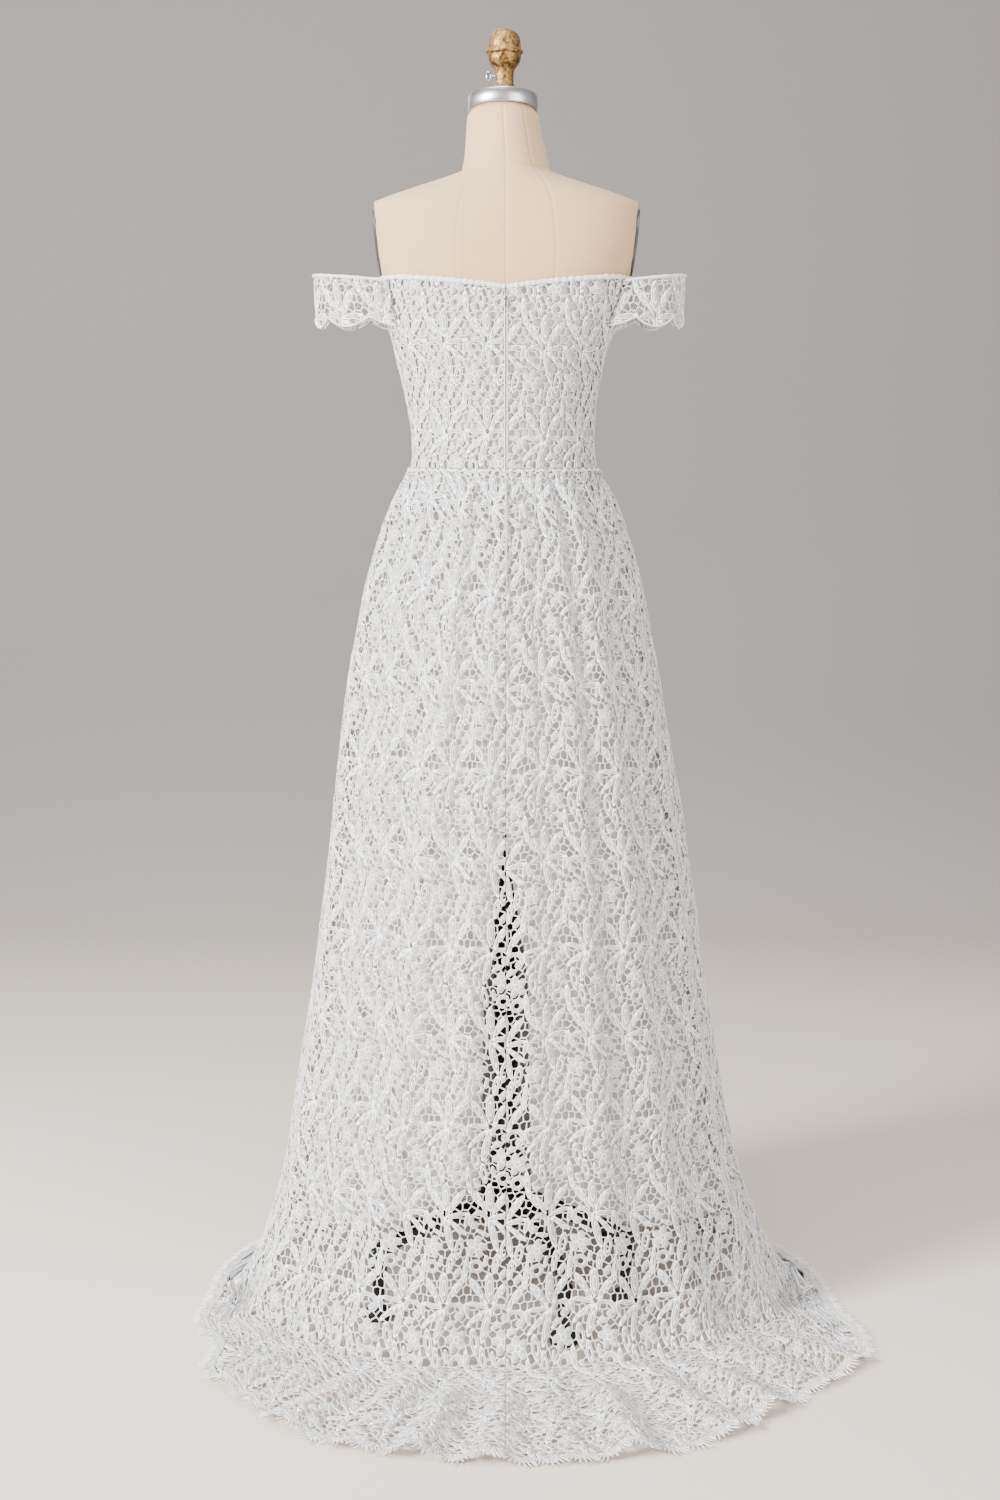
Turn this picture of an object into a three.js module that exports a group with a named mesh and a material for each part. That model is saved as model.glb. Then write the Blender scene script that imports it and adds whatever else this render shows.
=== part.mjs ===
// An off-the-shoulder guipure lace wedding dress with a train, worn by a limbless dress form on its stand.
// Units are millimetres and +Z is up. The front of the dress faces -Y and the train runs out towards +Y.
// Angles round the body are in degrees from the centre back (+Y), growing towards the dress's left (+X).
import * as THREE from 'three';

const DEG = Math.PI / 180;

// Cloth walls
const LACE_WALL = 1.6;
const LINING_WALL = 1.2;
const TAPE_WALL = 0.8;
const TAPE_HALF_WIDTH = 8;
const TAPE_SLACK = 2;            // the tape stands this much further in below the waist
const LINING_SETBACK = 4.2;      // outer face of the lace to outer face of the lining
const TAPE_SETBACK = 2.6;        // outer face of the lace to outer face of the zip tape
const SEAM_HALF_GAP = 0.15;      // half the space between two panels
const ZIP_HALF_GAP = 0.7;        // half the space between the two back panels, over the zip
const REST_GAP = 0.3;            // between pieces that lie on each other

// Main heights of the dress
const WAIST_Z = 1158;
const NECKLINE_SIDE_Z = 1407;
const NECKLINE_BACK_DIP = 15;
const NECKLINE_FRONT_DIP = 10;
const NECKLINE_DIP_ANGLE = 62;   // half the angle over which the neckline dips at the centre back

// Bodice outline: half-widths to the left and right, depths to the back and front, and how square the
// oval is (2 is an ellipse)
const BODICE = [
  { z: 1150, left: 133, right: 128, back: 97, front: 104, square: 2 },
  { z: 1176, left: 129, right: 122, back: 94, front: 104, square: 2 },
  { z: 1206, left: 130, right: 121, back: 95, front: 109, square: 2 },
  { z: 1240, left: 135, right: 123, back: 98, front: 117, square: 2.05 },
  { z: 1280, left: 144, right: 130, back: 103, front: 130, square: 2.1 },
  { z: 1320, left: 153, right: 139, back: 107, front: 141, square: 2.2 },
  { z: 1345, left: 160, right: 151, back: 108, front: 143, square: 2.35 },
  { z: 1375, left: 167, right: 163, back: 108, front: 138, square: 2.5 },
  { z: 1412, left: 172, right: 173, back: 107, front: 128, square: 2.6 },
];

// Skirt outline, from the waist seam down to where the cloth meets the floor
const SKIRT = [
  { z: 1158, left: 133, right: 127, back: 97, front: 104, square: 2 },
  { z: 1136, left: 144, right: 139, back: 110, front: 110, square: 2 },
  { z: 1115, left: 154, right: 150, back: 121, front: 116, square: 2 },
  { z: 1074, left: 170, right: 164, back: 134, front: 126, square: 2 },
  { z: 1032, left: 183, right: 177, back: 145, front: 135, square: 2 },
  { z: 991, left: 194, right: 187, back: 154, front: 142, square: 2 },
  { z: 949, left: 202, right: 195, back: 162, front: 148, square: 2 },
  { z: 866, left: 217, right: 210, back: 175, front: 158, square: 2 },
  { z: 782, left: 228, right: 224, back: 187, front: 168, square: 2 },
  { z: 697, left: 237, right: 240, back: 199, front: 178, square: 2 },
  { z: 611, left: 246, right: 252, back: 210, front: 188, square: 2 },
  { z: 525, left: 257, right: 265, back: 221, front: 198, square: 2 },
  { z: 438, left: 268, right: 276, back: 232, front: 209, square: 2 },
  { z: 351, left: 282, right: 290, back: 243, front: 221, square: 2 },
  { z: 263, left: 296, right: 305, back: 255, front: 234, square: 2 },
  { z: 174, left: 310, right: 324, back: 268, front: 247, square: 2 },
  { z: 112, left: 326, right: 345, back: 280, front: 256, square: 2 },
  { z: 60, left: 344, right: 366, back: 292, front: 264, square: 2 },
  { z: 25, left: 360, right: 387, back: 306, front: 270, square: 2 },
  { z: 4, left: 373, right: 403, back: 325, front: 274, square: 2 },
];

// Soft folds of the skirt: where each ridge starts at the hip, where it meets the floor, how far it
// stands out there and its half-width
const FOLDS = [
  { top: 4, hem: 18, rise: 17, width: 6.5 },
  { top: 23, hem: 37, rise: 22, width: 6.5 },
  { top: 50, hem: 52, rise: 15, width: 6 },
  { top: 74, hem: 68, rise: 24, width: 7 },
  { top: 98, hem: 92, rise: 16, width: 8 },
  { top: 121, hem: 118, rise: 18, width: 8 },
  { top: 144, hem: 143, rise: 15, width: 8 },
  { top: 168, hem: 168, rise: 18, width: 8 },
  { top: -8, hem: -8, rise: 9, width: 6 },
  { top: -28, hem: -28, rise: 12, width: 6 },
  { top: -43, hem: -48, rise: 17, width: 6.5 },
  { top: -66, hem: -68, rise: 20, width: 7 },
  { top: -92, hem: -92, rise: 16, width: 8 },
  { top: -116, hem: -116, rise: 18, width: 8 },
  { top: -141, hem: -141, rise: 15, width: 8 },
  { top: -164, hem: -166, rise: 17, width: 8 },
];
const FOLD_AT_HIP = 0.2;         // share of a fold's rise that is left at the hip
const FOLD_GROWTH = 1.3;         // how late the folds grow on the way down; 1 is evenly
const FOLD_FREE = 60;            // the folds start over this length below the waist
const FOLD_MEAN = 0.42;          // share of the mean rise taken off, so that the outline keeps its width

// Where the hem lies on the floor: distance from the pole at each angle
const HEM = [
  { angle: -180, reach: 325 },
  { angle: -150, reach: 347 },
  { angle: -120, reach: 398 },
  { angle: -96, reach: 440 },
  { angle: -76, reach: 476 },
  { angle: -66, reach: 530 },
  { angle: -57, reach: 562 },
  { angle: -48, reach: 560 },
  { angle: -38, reach: 566 },
  { angle: -28, reach: 592 },
  { angle: -18, reach: 604 },
  { angle: -5, reach: 603 },
  { angle: 7, reach: 600 },
  { angle: 17, reach: 596 },
  { angle: 27, reach: 580 },
  { angle: 38, reach: 542 },
  { angle: 48, reach: 522 },
  { angle: 58, reach: 462 },
  { angle: 67, reach: 458 },
  { angle: 80, reach: 424 },
  { angle: 96, reach: 412 },
  { angle: 120, reach: 386 },
  { angle: 150, reach: 343 },
  { angle: 180, reach: 325 },
];
const POOL_RIDGE = 24;           // height of the folds that run out across the floor
const POOL_ROOM = { none: 60, full: 260 };   // lengths of cloth on the floor for no folds and for full ones
// Folds on the floor: their width against the skirt's folds, the rise of skirt fold that makes a full
// one, where they start, how much they fall off, and the share of the train that turns onto the floor
const POOL_FOLD = { width: 0.8, fullRise: 20, start: 0.1, fade: 0.4, turn: 0.2 };
const FLOOR_TURN_Z = SKIRT[SKIRT.length - 1].z;
const SCALLOP_DEPTH = 9;

// Lace gaps that are cut right through, one for each repeat of the lace
const GAP_WIDTH = 12;
const GAP_HEIGHT = 15;
// Repeats across a panel, with the plain column lines between two gaps and at each end
const SKIRT_LACE = { repeats: 9, between: 1, ends: 1 };
const BODICE_BACK_LACE = { repeats: 3, between: 3, ends: 2 };
const BODICE_FRONT_LACE = { repeats: 6, between: 2, ends: 2 };
const BODICE_MEAN_RADIUS = 130;
const SLEEVE_LACE = { repeats: 4, between: 1, ends: 1 };
const GAP_STAGGER = 0.2;         // how far alternate rows of gaps are moved sideways, in repeats
const SKIRT_GAP_ROWS = [1052, 936, 818, 700, 582, 464, 346, 228, 118];
const SKIRT_PLAIN_ROWS = [1157.85, 1130, 1100, 62, 26, 4];
const SKIRT_MEASURE_ANGLE = 45;  // the width of the gaps is set out from the skirt's radius here
const POOL_GAP_ROWS = [0.2, 0.5, 0.8];
const POOL_GAP_HALF = 0.022;
const POOL_GAP_ANGLE = 58;       // the train has gaps this far round from the centre back
const POOL_REACH = { gaps: 160, seams: 280 };   // lengths that the gaps and the seams of the train are set out from

// Sleeve bands, hanging off the shoulder round the open armholes
const SLEEVE = {
  reachLeft: 260, reachRight: 243, halfDepth: 63, drop: 54, rise: 10, seat: 1352, flare: 3, seatGap: 3.2,
};
const SLEEVE_SCALLOP = 5;
const SLEEVE_GAP_SHARE = 0.045;  // width of a gap against the length of the band
const SLEEVE_ROWS_UP = [1, 0.62, 0.38, 0];
const SLEEVE_GAP_ROW = 1;

// Corded edge of the neckline
const CORD = { radius: 2.6, steps: 40, sides: 6, lift: 1.8, seat: 0.5, halfGap: 0.6 };

// Skirt lining
const LINING = {
  top: 1150, inset: 13, settle: 160, flare: 22, columns: 28, rows: 9, slitTop: 647, slitHalf: 26, meanRadius: 180,
};
const LINING_HEM = { side: 122, rightRise: 8, backRise: 60, spread: 34 };

// Zip and hook
const BODICE_TAPE = { top: 1388, bottom: WAIST_Z + 1, steps: 8 };
const SKIRT_TAPE = { top: WAIST_Z - 16, bottom: 1024, steps: 5 };
const SLIDER = { z: 1380, width: 5.2, floor: 0.8, cheek: 1, depth: 3, height: 6, stand: 0.7 };
const PULL = { width: 4.2, length: 12, plate: 1, knuckle: 1, knuckleWidth: 2.4, shoulder: 3, tip: 1.5, segments: 4 };
const EYE = { radius: 2.3, wire: 0.5, z: 1387.6, stand: 0.8, wireSides: 5, steps: 10 };

// Dress form
const FORM = [
  { z: 1633, left: 43, right: 43, back: 43, front: 43, square: 2 },
  { z: 1630, left: 47, right: 47, back: 46, front: 46, square: 2 },
  { z: 1603, left: 51, right: 51, back: 51, front: 48, square: 2 },
  { z: 1572, left: 56, right: 56, back: 58, front: 46, square: 2 },
  { z: 1554, left: 61, right: 61, back: 68, front: 47, square: 2 },
  { z: 1541, left: 98, right: 98, back: 78, front: 58, square: 2 },
  { z: 1525, left: 146, right: 146, back: 87, front: 76, square: 2.2 },
  { z: 1509, left: 184, right: 184, back: 92, front: 90, square: 2.4 },
  { z: 1484, left: 184, right: 184, back: 97, front: 104, square: 2.6 },
  { z: 1452, left: 180, right: 180, back: 100, front: 114, square: 2.8 },
  { z: 1424, left: 173, right: 173, back: 100, front: 118, square: 2.7 },
  { z: 1404, left: 163, right: 163.5, back: 99, front: 117, square: 2.6 },
  { z: 1375, left: 157.5, right: 153.5, back: 99, front: 125, square: 2.4 },
  { z: 1345, left: 150, right: 141, back: 99, front: 130, square: 2.2 },
  { z: 1320, left: 143, right: 129, back: 98, front: 129, square: 2.1 },
  { z: 1280, left: 134, right: 120, back: 94, front: 119, square: 2 },
  { z: 1240, left: 125, right: 113, back: 89, front: 107, square: 2 },
  { z: 1206, left: 120, right: 111, back: 86, front: 99, square: 2 },
  { z: 1176, left: 119, right: 112, back: 85, front: 94, square: 2 },
  { z: 1140, left: 124, right: 119, back: 90, front: 95, square: 2 },
  { z: 1080, left: 142, right: 138, back: 106, front: 99, square: 2 },
  { z: 1000, left: 158, right: 156, back: 122, front: 104, square: 2 },
  { z: 920, left: 161, right: 160, back: 124, front: 104, square: 2 },
  { z: 860, left: 152, right: 152, back: 112, front: 95, square: 2 },
  { z: 838, left: 134, right: 134, back: 96, front: 82, square: 2 },
];
const FORM_COLUMNS = 24;
const NECK_TILT = 9;             // the top of the neck leans down towards the front
const NECK_LEAN = 4;             // and a little to the left
const NECK_TILT_FROM = 1560;
const NECK_TOP = 1633;
const NECK_CAP = {
  radius: 46.8, height: 19, seat: 1633.4, bevel: 2, boss: 19, bossTop: 1657.5, bossEdge: 1, bossFoot: 2,
};
const ARM_PLATE = {
  bottom: 1415, top: 1507, halfDepth: 46, thickness: 3.6, lean: 10.2, inner: 166.6, cutBelow: 20, sides: 20,
};

// Finial profile, from its foot up: radius at each height above the foot
const FINIAL = [
  { r: 0, h: 0 }, { r: 17, h: 0 }, { r: 17.5, h: 3 }, { r: 16.5, h: 7 }, { r: 12.4, h: 10 },
  { r: 11.8, h: 19 }, { r: 12.6, h: 27 }, { r: 16, h: 34 }, { r: 21.5, h: 41 }, { r: 24.6, h: 47 },
  { r: 25, h: 52 }, { r: 24.2, h: 54.5 }, { r: 21.6, h: 55.5 }, { r: 22, h: 63 }, { r: 20.5, h: 71 },
  { r: 16, h: 77.5 }, { r: 9, h: 81.5 }, { r: 0, h: 83 },
];
const FINIAL_FOOT = 1657.9;
const FINIAL_SIDES = 14;
const SCREW = {
  z: 1679.5, start: 12.9, shank: 2.1, shankEnd: 17, headEnd: 25, headHalf: 6.4, headThick: 2.6, bevel: 0.5,
  taper: 2, sides: 12,
};

// Stand
const POLE = { radius: 16.5, top: 837.5, sides: 20 };
const HUB_SIDES = 16;
const FOOT_SIDES = 8;
const HUB = [
  { r: 0, h: 84 }, { r: 34, h: 84 }, { r: 42, h: 92 }, { r: 43, h: 128 }, { r: 36, h: 140 },
  { r: 25, h: 150 }, { r: 24, h: 186 }, { r: 0, h: 186 },
];
const LEGS = [
  { angle: 49, reach: 232 },
  { angle: -18, reach: 250 },
  { angle: -62, reach: 190 },
  { angle: -135, reach: 225 },
  { angle: 140, reach: 215 },
];
const LEG = {
  hubReach: 43.6, hubZ: 112, endZ: 92, hump: 10, hubHalf: 15, endHalf: 10, overrun: 12, steps: 5, sides: 6,
};
const FOOT = [
  { r: 0, h: 0 }, { r: 19, h: 0 }, { r: 20, h: 9 }, { r: 9, h: 17 },
  { r: 8, h: 60 }, { r: 12, h: 66 }, { r: 12, h: 80.4 }, { r: 0, h: 80.4 },
];

const FINISHES = {
  lace: { color: '#f1f0ee', roughness: 0.85, metalness: 0 },
  lining: { color: '#e6e4e1', roughness: 0.6, metalness: 0 },
  zipTape: { color: '#c9c7c4', roughness: 0.8, metalness: 0 },
  canvas: { color: '#e9ddcf', roughness: 0.9, metalness: 0 },
  brass: { color: '#a8834e', roughness: 0.45, metalness: 1 },
  aluminium: { color: '#b9bab9', roughness: 0.35, metalness: 1 },
  chrome: { color: '#c8c8c8', roughness: 0.15, metalness: 1 },
  darkSteel: { color: '#5b5c5c', roughness: 0.45, metalness: 1 },
  blackPaint: { color: '#15151a', roughness: 0.45, metalness: 0.2 },
  rubber: { color: '#121212', roughness: 0.8, metalness: 0 },
};

const group = new THREE.Group();

function addPart(name, geometry, finish) {
  const mesh = new THREE.Mesh(geometry, new THREE.MeshStandardMaterial(FINISHES[finish]));
  mesh.name = name;
  group.add(mesh);
  return mesh;
}

// Value of one column of a table at a place between its rows, as a smooth curve through the rows
function sample(table, key, at, column) {
  const ascending = table[table.length - 1][key] > table[0][key];
  const rows = ascending ? table : [...table].reverse();
  const last = rows.length - 1;
  const x = Math.min(Math.max(at, rows[0][key]), rows[last][key]);
  let k = 0;
  while (k < last - 1 && x > rows[k + 1][key]) k += 1;
  const slopeOf = (a, b) => (rows[b][column] - rows[a][column]) / (rows[b][key] - rows[a][key]);
  const span = rows[k + 1][key] - rows[k][key];
  const here = slopeOf(k, k + 1);
  const before = k > 0 ? slopeOf(k - 1, k) : here;
  const after = k + 1 < last ? slopeOf(k + 1, k + 2) : here;
  const blend = (a, b) => (a * b <= 0 ? 0 : (2 * a * b) / (a + b));
  const m0 = k > 0 ? blend(before, here) : here;
  const m1 = k + 1 < last ? blend(here, after) : here;
  const t = (x - rows[k][key]) / span;
  const t2 = t * t;
  const t3 = t2 * t;
  return (2 * t3 - 3 * t2 + 1) * rows[k][column] + (t3 - 2 * t2 + t) * span * m0
    + (3 * t2 - 2 * t3) * rows[k + 1][column] + (t3 - t2) * span * m1;
}

const smoothstep = (low, high, x) => {
  const t = Math.min(Math.max((x - low) / (high - low), 0), 1);
  return t * t * (3 - 2 * t);
};

// Shortest signed angle from b to a, in degrees
const turn = (a, b) => ((a - b + 540) % 360) - 180;

// Distance from the pole to an oval outline at one angle
function outlineRadius(table, z, angle) {
  const across = Math.sin(angle * DEG);
  const along = Math.cos(angle * DEG);
  const side = sample(table, 'z', z, across >= 0 ? 'left' : 'right');
  const depth = sample(table, 'z', z, along >= 0 ? 'back' : 'front');
  const power = sample(table, 'z', z, 'square');
  return (Math.abs(across / side) ** power + Math.abs(along / depth) ** power) ** (-1 / power);
}

const polar = (radius, angle, z) =>
  new THREE.Vector3(radius * Math.sin(angle * DEG), radius * Math.cos(angle * DEG), z);

// A closed wall of even thickness on a grid of outer points. Columns run round the body from the
// centre back towards +X and rows run down, so that the outer face looks away from the body.
// At a seam the inner points keep their outer point's angle, so that two panels stay apart all through.
function wall({ columns, rows, point, thickness, isGap = () => false, onFloor = false, seams = true }) {
  const outer = [];
  for (let j = 0; j < rows; j += 1) {
    for (let i = 0; i < columns; i += 1) outer.push(point(i, j));
  }
  const at = (i, j) => outer[j * columns + i];
  const inner = [];
  for (let j = 0; j < rows; j += 1) {
    for (let i = 0; i < columns; i += 1) {
      const round = at(Math.min(i + 1, columns - 1), j).clone().sub(at(Math.max(i - 1, 0), j));
      const down = at(i, Math.min(j + 1, rows - 1)).clone().sub(at(i, Math.max(j - 1, 0)));
      const normal = round.cross(down).normalize();
      const p = at(i, j).clone().addScaledVector(normal, -thickness);
      if (onFloor) p.z = Math.max(p.z, 0);
      if (seams && (i === 0 || i === columns - 1)) {
        const o = at(i, j);
        const scale = Math.hypot(p.x, p.y) / Math.hypot(o.x, o.y);
        p.set(o.x * scale, o.y * scale, p.z);
      }
      inner.push(p);
    }
  }
  const vertices = [...outer, ...inner];
  const innerFrom = outer.length;
  const solid = (i, j) => i >= 0 && j >= 0 && i < columns - 1 && j < rows - 1 && !isGap(i, j);
  const index = [];
  const quad = (a, b, c, d) => index.push(a, b, c, a, c, d);
  for (let j = 0; j < rows - 1; j += 1) {
    for (let i = 0; i < columns - 1; i += 1) {
      if (!solid(i, j)) continue;
      const corner = [j * columns + i, j * columns + i + 1, (j + 1) * columns + i + 1, (j + 1) * columns + i];
      // Both faces are split along the same diagonal, the one further out, so that a twisted cell
      // keeps its thickness
      const [a, b, c, d] = corner;
      const across = outer[a].clone().add(outer[c]).sub(outer[b]).sub(outer[d]);
      const [e, f, g, h] = across.dot(outer[a].clone().sub(inner[a])) >= 0 ? corner : [b, c, d, a];
      quad(e, f, g, h);
      index.push(...[e, g, f, e, h, g].map((n) => n + innerFrom));
      const beside = [[i, j - 1], [i + 1, j], [i, j + 1], [i - 1, j]];
      beside.forEach(([ni, nj], edge) => {
        if (solid(ni, nj)) return;
        const p = corner[edge];
        const q = corner[(edge + 1) % 4];
        quad(q, p, p + innerFrom, q + innerFrom);
      });
    }
  }
  return meshOf(vertices, index);
}

function meshOf(vertices, index) {
  const geometry = new THREE.BufferGeometry();
  geometry.setFromPoints(vertices);
  geometry.setIndex(index);
  return geometry;
}

// A closed solid through rings of points that run the same way as the columns of a wall, top ring first
function loft(rings) {
  const sides = rings[0].length;
  const vertices = rings.flat();
  const index = [];
  for (let k = 0; k < rings.length - 1; k += 1) {
    for (let i = 0; i < sides; i += 1) {
      const next = (i + 1) % sides;
      const a = k * sides + i;
      const b = k * sides + next;
      const c = (k + 1) * sides + next;
      const d = (k + 1) * sides + i;
      index.push(a, b, c, a, c, d);
    }
  }
  const centreOf = (ring) => ring.reduce((sum, p) => sum.add(p), new THREE.Vector3()).divideScalar(sides);
  const top = vertices.push(centreOf(rings[0])) - 1;
  const bottom = vertices.push(centreOf(rings[rings.length - 1])) - 1;
  const lowest = (rings.length - 1) * sides;
  for (let i = 0; i < sides; i += 1) {
    const next = (i + 1) % sides;
    index.push(top, next, i);
    index.push(bottom, lowest + i, lowest + next);
  }
  return meshOf(vertices, index);
}

// Lathe profile of radii and heights, turned about the Z axis
function turned(profile, sides) {
  const geometry = new THREE.LatheGeometry(profile.map(({ r, h }) => new THREE.Vector2(r, h)), sides);
  geometry.rotateX(Math.PI / 2);
  return geometry;
}

// Column lines of lace, from 0 to 1: two lines round each gap, plain ones between gaps and at both ends
function laceLines({ repeats, between, ends }, gapShare, stagger) {
  const lines = [0];
  const spread = (to, count) => {
    const from = lines[lines.length - 1];
    for (let k = 1; k <= count; k += 1) lines.push(from + ((to - from) * k) / (count + 1));
  };
  for (let m = 0; m < repeats; m += 1) {
    const centre = (m + 0.5 + stagger) / repeats;
    spread(centre - gapShare / 2, m === 0 ? ends : between);
    lines.push(centre - gapShare / 2, centre + gapShare / 2);
  }
  spread(1, ends);
  lines.push(1);
  return lines;
}

// Is the cell to the right of line i a gap?
const isGapColumn = (i, { repeats, between, ends }) => {
  const m = (i - 1 - ends) / (between + 2);
  return Number.isInteger(m) && m >= 0 && m < repeats;
};

// Bodice

const necklineZ = (angle) => {
  const back = Math.max(0, 1 - Math.abs(turn(angle, 0)) / NECKLINE_DIP_ANGLE);
  const front = smoothstep(NECKLINE_DIP_ANGLE, 0, Math.abs(turn(angle, 180)));
  return NECKLINE_SIDE_Z - NECKLINE_BACK_DIP * back - NECKLINE_FRONT_DIP * front;
};

const bodicePoint = (angle, z, inset = 0) => polar(outlineRadius(BODICE, z, angle) - inset, angle, z);

const BODICE_ROWS = [0, 0.1, 0.22, 0.28, 0.48, 0.64, 0.7, 0.86, 1];
const BODICE_GAP_ROWS = [2, 5];
const BODICE_STAGGER_ROW = 4;    // the rows above this one are moved the other way

function bodicePanel(fromAngle, toAngle, lace) {
  const reach = BODICE_MEAN_RADIUS * (toAngle - fromAngle) * DEG;
  const rows = BODICE_ROWS.length;
  const lineSets = BODICE_ROWS.map((_, j) =>
    laceLines(lace, GAP_WIDTH / reach, j < BODICE_STAGGER_ROW ? GAP_STAGGER : -GAP_STAGGER));
  const columns = lineSets[0].length;
  return wall({
    columns,
    rows,
    thickness: LACE_WALL,
    isGap: (i, j) => isGapColumn(i, lace) && BODICE_GAP_ROWS.includes(rows - 2 - j),
    point: (i, j) => {
      const up = BODICE_ROWS[rows - 1 - j];
      const angle = fromAngle + (toAngle - fromAngle) * lineSets[rows - 1 - j][i];
      const z = WAIST_Z + SEAM_HALF_GAP + (necklineZ(angle) - WAIST_Z - SEAM_HALF_GAP) * up;
      return bodicePoint(angle, z);
    },
  });
}

const seamAngle = (radius, halfGap) => halfGap / radius / DEG;
const BACK_GAP = seamAngle(BODICE[0].back, ZIP_HALF_GAP);
const SIDE_GAP = seamAngle(BODICE[0].left, SEAM_HALF_GAP);

addPart('bodice_back_left', bodicePanel(BACK_GAP, 90 - SIDE_GAP, BODICE_BACK_LACE), 'lace');
addPart('bodice_back_right', bodicePanel(-90 + SIDE_GAP, -BACK_GAP, BODICE_BACK_LACE), 'lace');
addPart('bodice_front', bodicePanel(90 + SIDE_GAP, 270 - SIDE_GAP, BODICE_FRONT_LACE), 'lace');

const BODICE_LINING = { columns: 45, rowsDown: [1, 0.86, 0.67, 0.48, 0.25, 0.1, 0], drop: 1.2 };
addPart('bodice_lining', wall({
  columns: BODICE_LINING.columns,
  rows: BODICE_LINING.rowsDown.length,
  thickness: LINING_WALL,
  point: (i, j) => {
    const angle = BACK_GAP + ((360 - 2 * BACK_GAP) * i) / (BODICE_LINING.columns - 1);
    const top = necklineZ(angle) - BODICE_LINING.drop;
    const z = WAIST_Z + (top - WAIST_Z) * BODICE_LINING.rowsDown[j];
    return bodicePoint(angle, z, LINING_SETBACK);
  },
}), 'lining');

// Corded edge: a round section carried along the neckline, open at the centre back
function necklineCord() {
  const rings = [];
  const gap = seamAngle(BODICE[0].back, CORD.halfGap);
  for (let k = 0; k <= CORD.steps; k += 1) {
    const angle = gap + ((360 - 2 * gap) * k) / CORD.steps;
    const centreZ = necklineZ(angle) + CORD.radius + REST_GAP + CORD.seat;
    const centre = bodicePoint(angle, necklineZ(angle), CORD.lift);
    const ring = [];
    for (let i = 0; i < CORD.sides; i += 1) {
      const a = (2 * Math.PI * i) / CORD.sides;
      const out = polar(CORD.radius * Math.cos(a), angle, 0);
      ring.push(new THREE.Vector3(centre.x + out.x, centre.y + out.y, centreZ + CORD.radius * Math.sin(a)));
    }
    rings.push(ring);
  }
  return loft(rings);
}
addPart('neckline_cord', necklineCord(), 'lace');

// Sleeves

function sleeve(side) {
  const reach = side > 0 ? SLEEVE.reachLeft : SLEEVE.reachRight;
  const lines = laceLines(SLEEVE_LACE, SLEEVE_GAP_SHARE, 0);
  const seatX = (y, z) => {
    const depth = sample(BODICE, 'z', z, y >= 0 ? 'back' : 'front');
    const width = sample(BODICE, 'z', z, side > 0 ? 'left' : 'right');
    const power = sample(BODICE, 'z', z, 'square');
    return width * (1 - Math.abs(y / depth) ** power) ** (1 / power) + SLEEVE.seatGap;
  };
  return wall({
    columns: lines.length,
    rows: SLEEVE_ROWS_UP.length,
    thickness: LACE_WALL,
    seams: false,
    isGap: (i, j) => isGapColumn(i, SLEEVE_LACE) && j === SLEEVE_GAP_ROW,
    point: (i, j) => {
      // The grid runs front to back on the right sleeve, so that its outer face looks outwards
      const t = side > 0 ? lines[i] : 1 - lines[i];
      const y = SLEEVE.halfDepth * Math.cos(Math.PI * t);
      const bulge = Math.sin(Math.PI * t);
      const up = SLEEVE_ROWS_UP[j];
      const scallop = up === 0 ? SLEEVE_SCALLOP * (i % 2 === 0 ? 1 : -1) : 0;
      const z = SLEEVE.seat + SLEEVE.rise * bulge * up + SLEEVE.drop * up - scallop * bulge;
      const seat = seatX(y, Math.min(z, NECKLINE_SIDE_Z));
      const out = reach - SLEEVE.flare * (1 - up);
      return new THREE.Vector3(side * (seat + (out - seat) * bulge), y, z);
    },
  });
}
addPart('sleeve_left', sleeve(1), 'lace');
addPart('sleeve_right', sleeve(-1), 'lace');

// Skirt

function foldRise(angle, z) {
  const fall = 1 - Math.max(z, 0) / WAIST_Z;
  const free = smoothstep(WAIST_Z, WAIST_Z - FOLD_FREE, z);
  const strength = (FOLD_AT_HIP + (1 - FOLD_AT_HIP) * fall ** FOLD_GROWTH) * free;
  let sum = 0;
  let mean = 0;
  for (const fold of FOLDS) {
    const ridge = fold.top + (fold.hem - fold.top) * fall;
    const d = turn(angle, ridge) / fold.width;
    sum += fold.rise * Math.exp(-d * d);
    mean += fold.rise / FOLDS.length;
  }
  return strength * (sum - FOLD_MEAN * mean);
}

const skirtRadius = (angle, z) => outlineRadius(SKIRT, z, angle) + foldRise(angle, z);

const hemReach = (angle) => sample(HEM, 'angle', turn(angle, 0), 'reach');

// How fully the folds and the scallops form: nothing where little cloth lies on the floor
const poolRoom = (angle) =>
  smoothstep(POOL_ROOM.none, POOL_ROOM.full, hemReach(angle) - skirtRadius(angle, FLOOR_TURN_Z));

// Height of the cloth that lies on the floor: ridges carry on from the folds and flatten to the hem
function poolHeight(angle, t) {
  let ridge = 0;
  for (const fold of FOLDS) {
    const d = turn(angle, fold.hem) / (fold.width * POOL_FOLD.width);
    ridge = Math.max(ridge, Math.exp(-d * d) * (fold.rise / POOL_FOLD.fullRise));
  }
  const along = Math.min(1, t * (1 - POOL_FOLD.start) + POOL_FOLD.start);
  return POOL_RIDGE * poolRoom(angle) * ridge * Math.sin(Math.PI * along) * (1 - POOL_FOLD.fade * t);
}

function poolPoint(angle, t, scallop) {
  const start = skirtRadius(angle, FLOOR_TURN_Z);
  const reach = hemReach(angle) - scallop;
  const z = FLOOR_TURN_Z + (LACE_WALL - FLOOR_TURN_Z) * smoothstep(0, POOL_FOLD.turn, t);
  return polar(start + (reach - start) * t, angle, Math.max(z, LACE_WALL) + poolHeight(angle, t));
}

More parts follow.
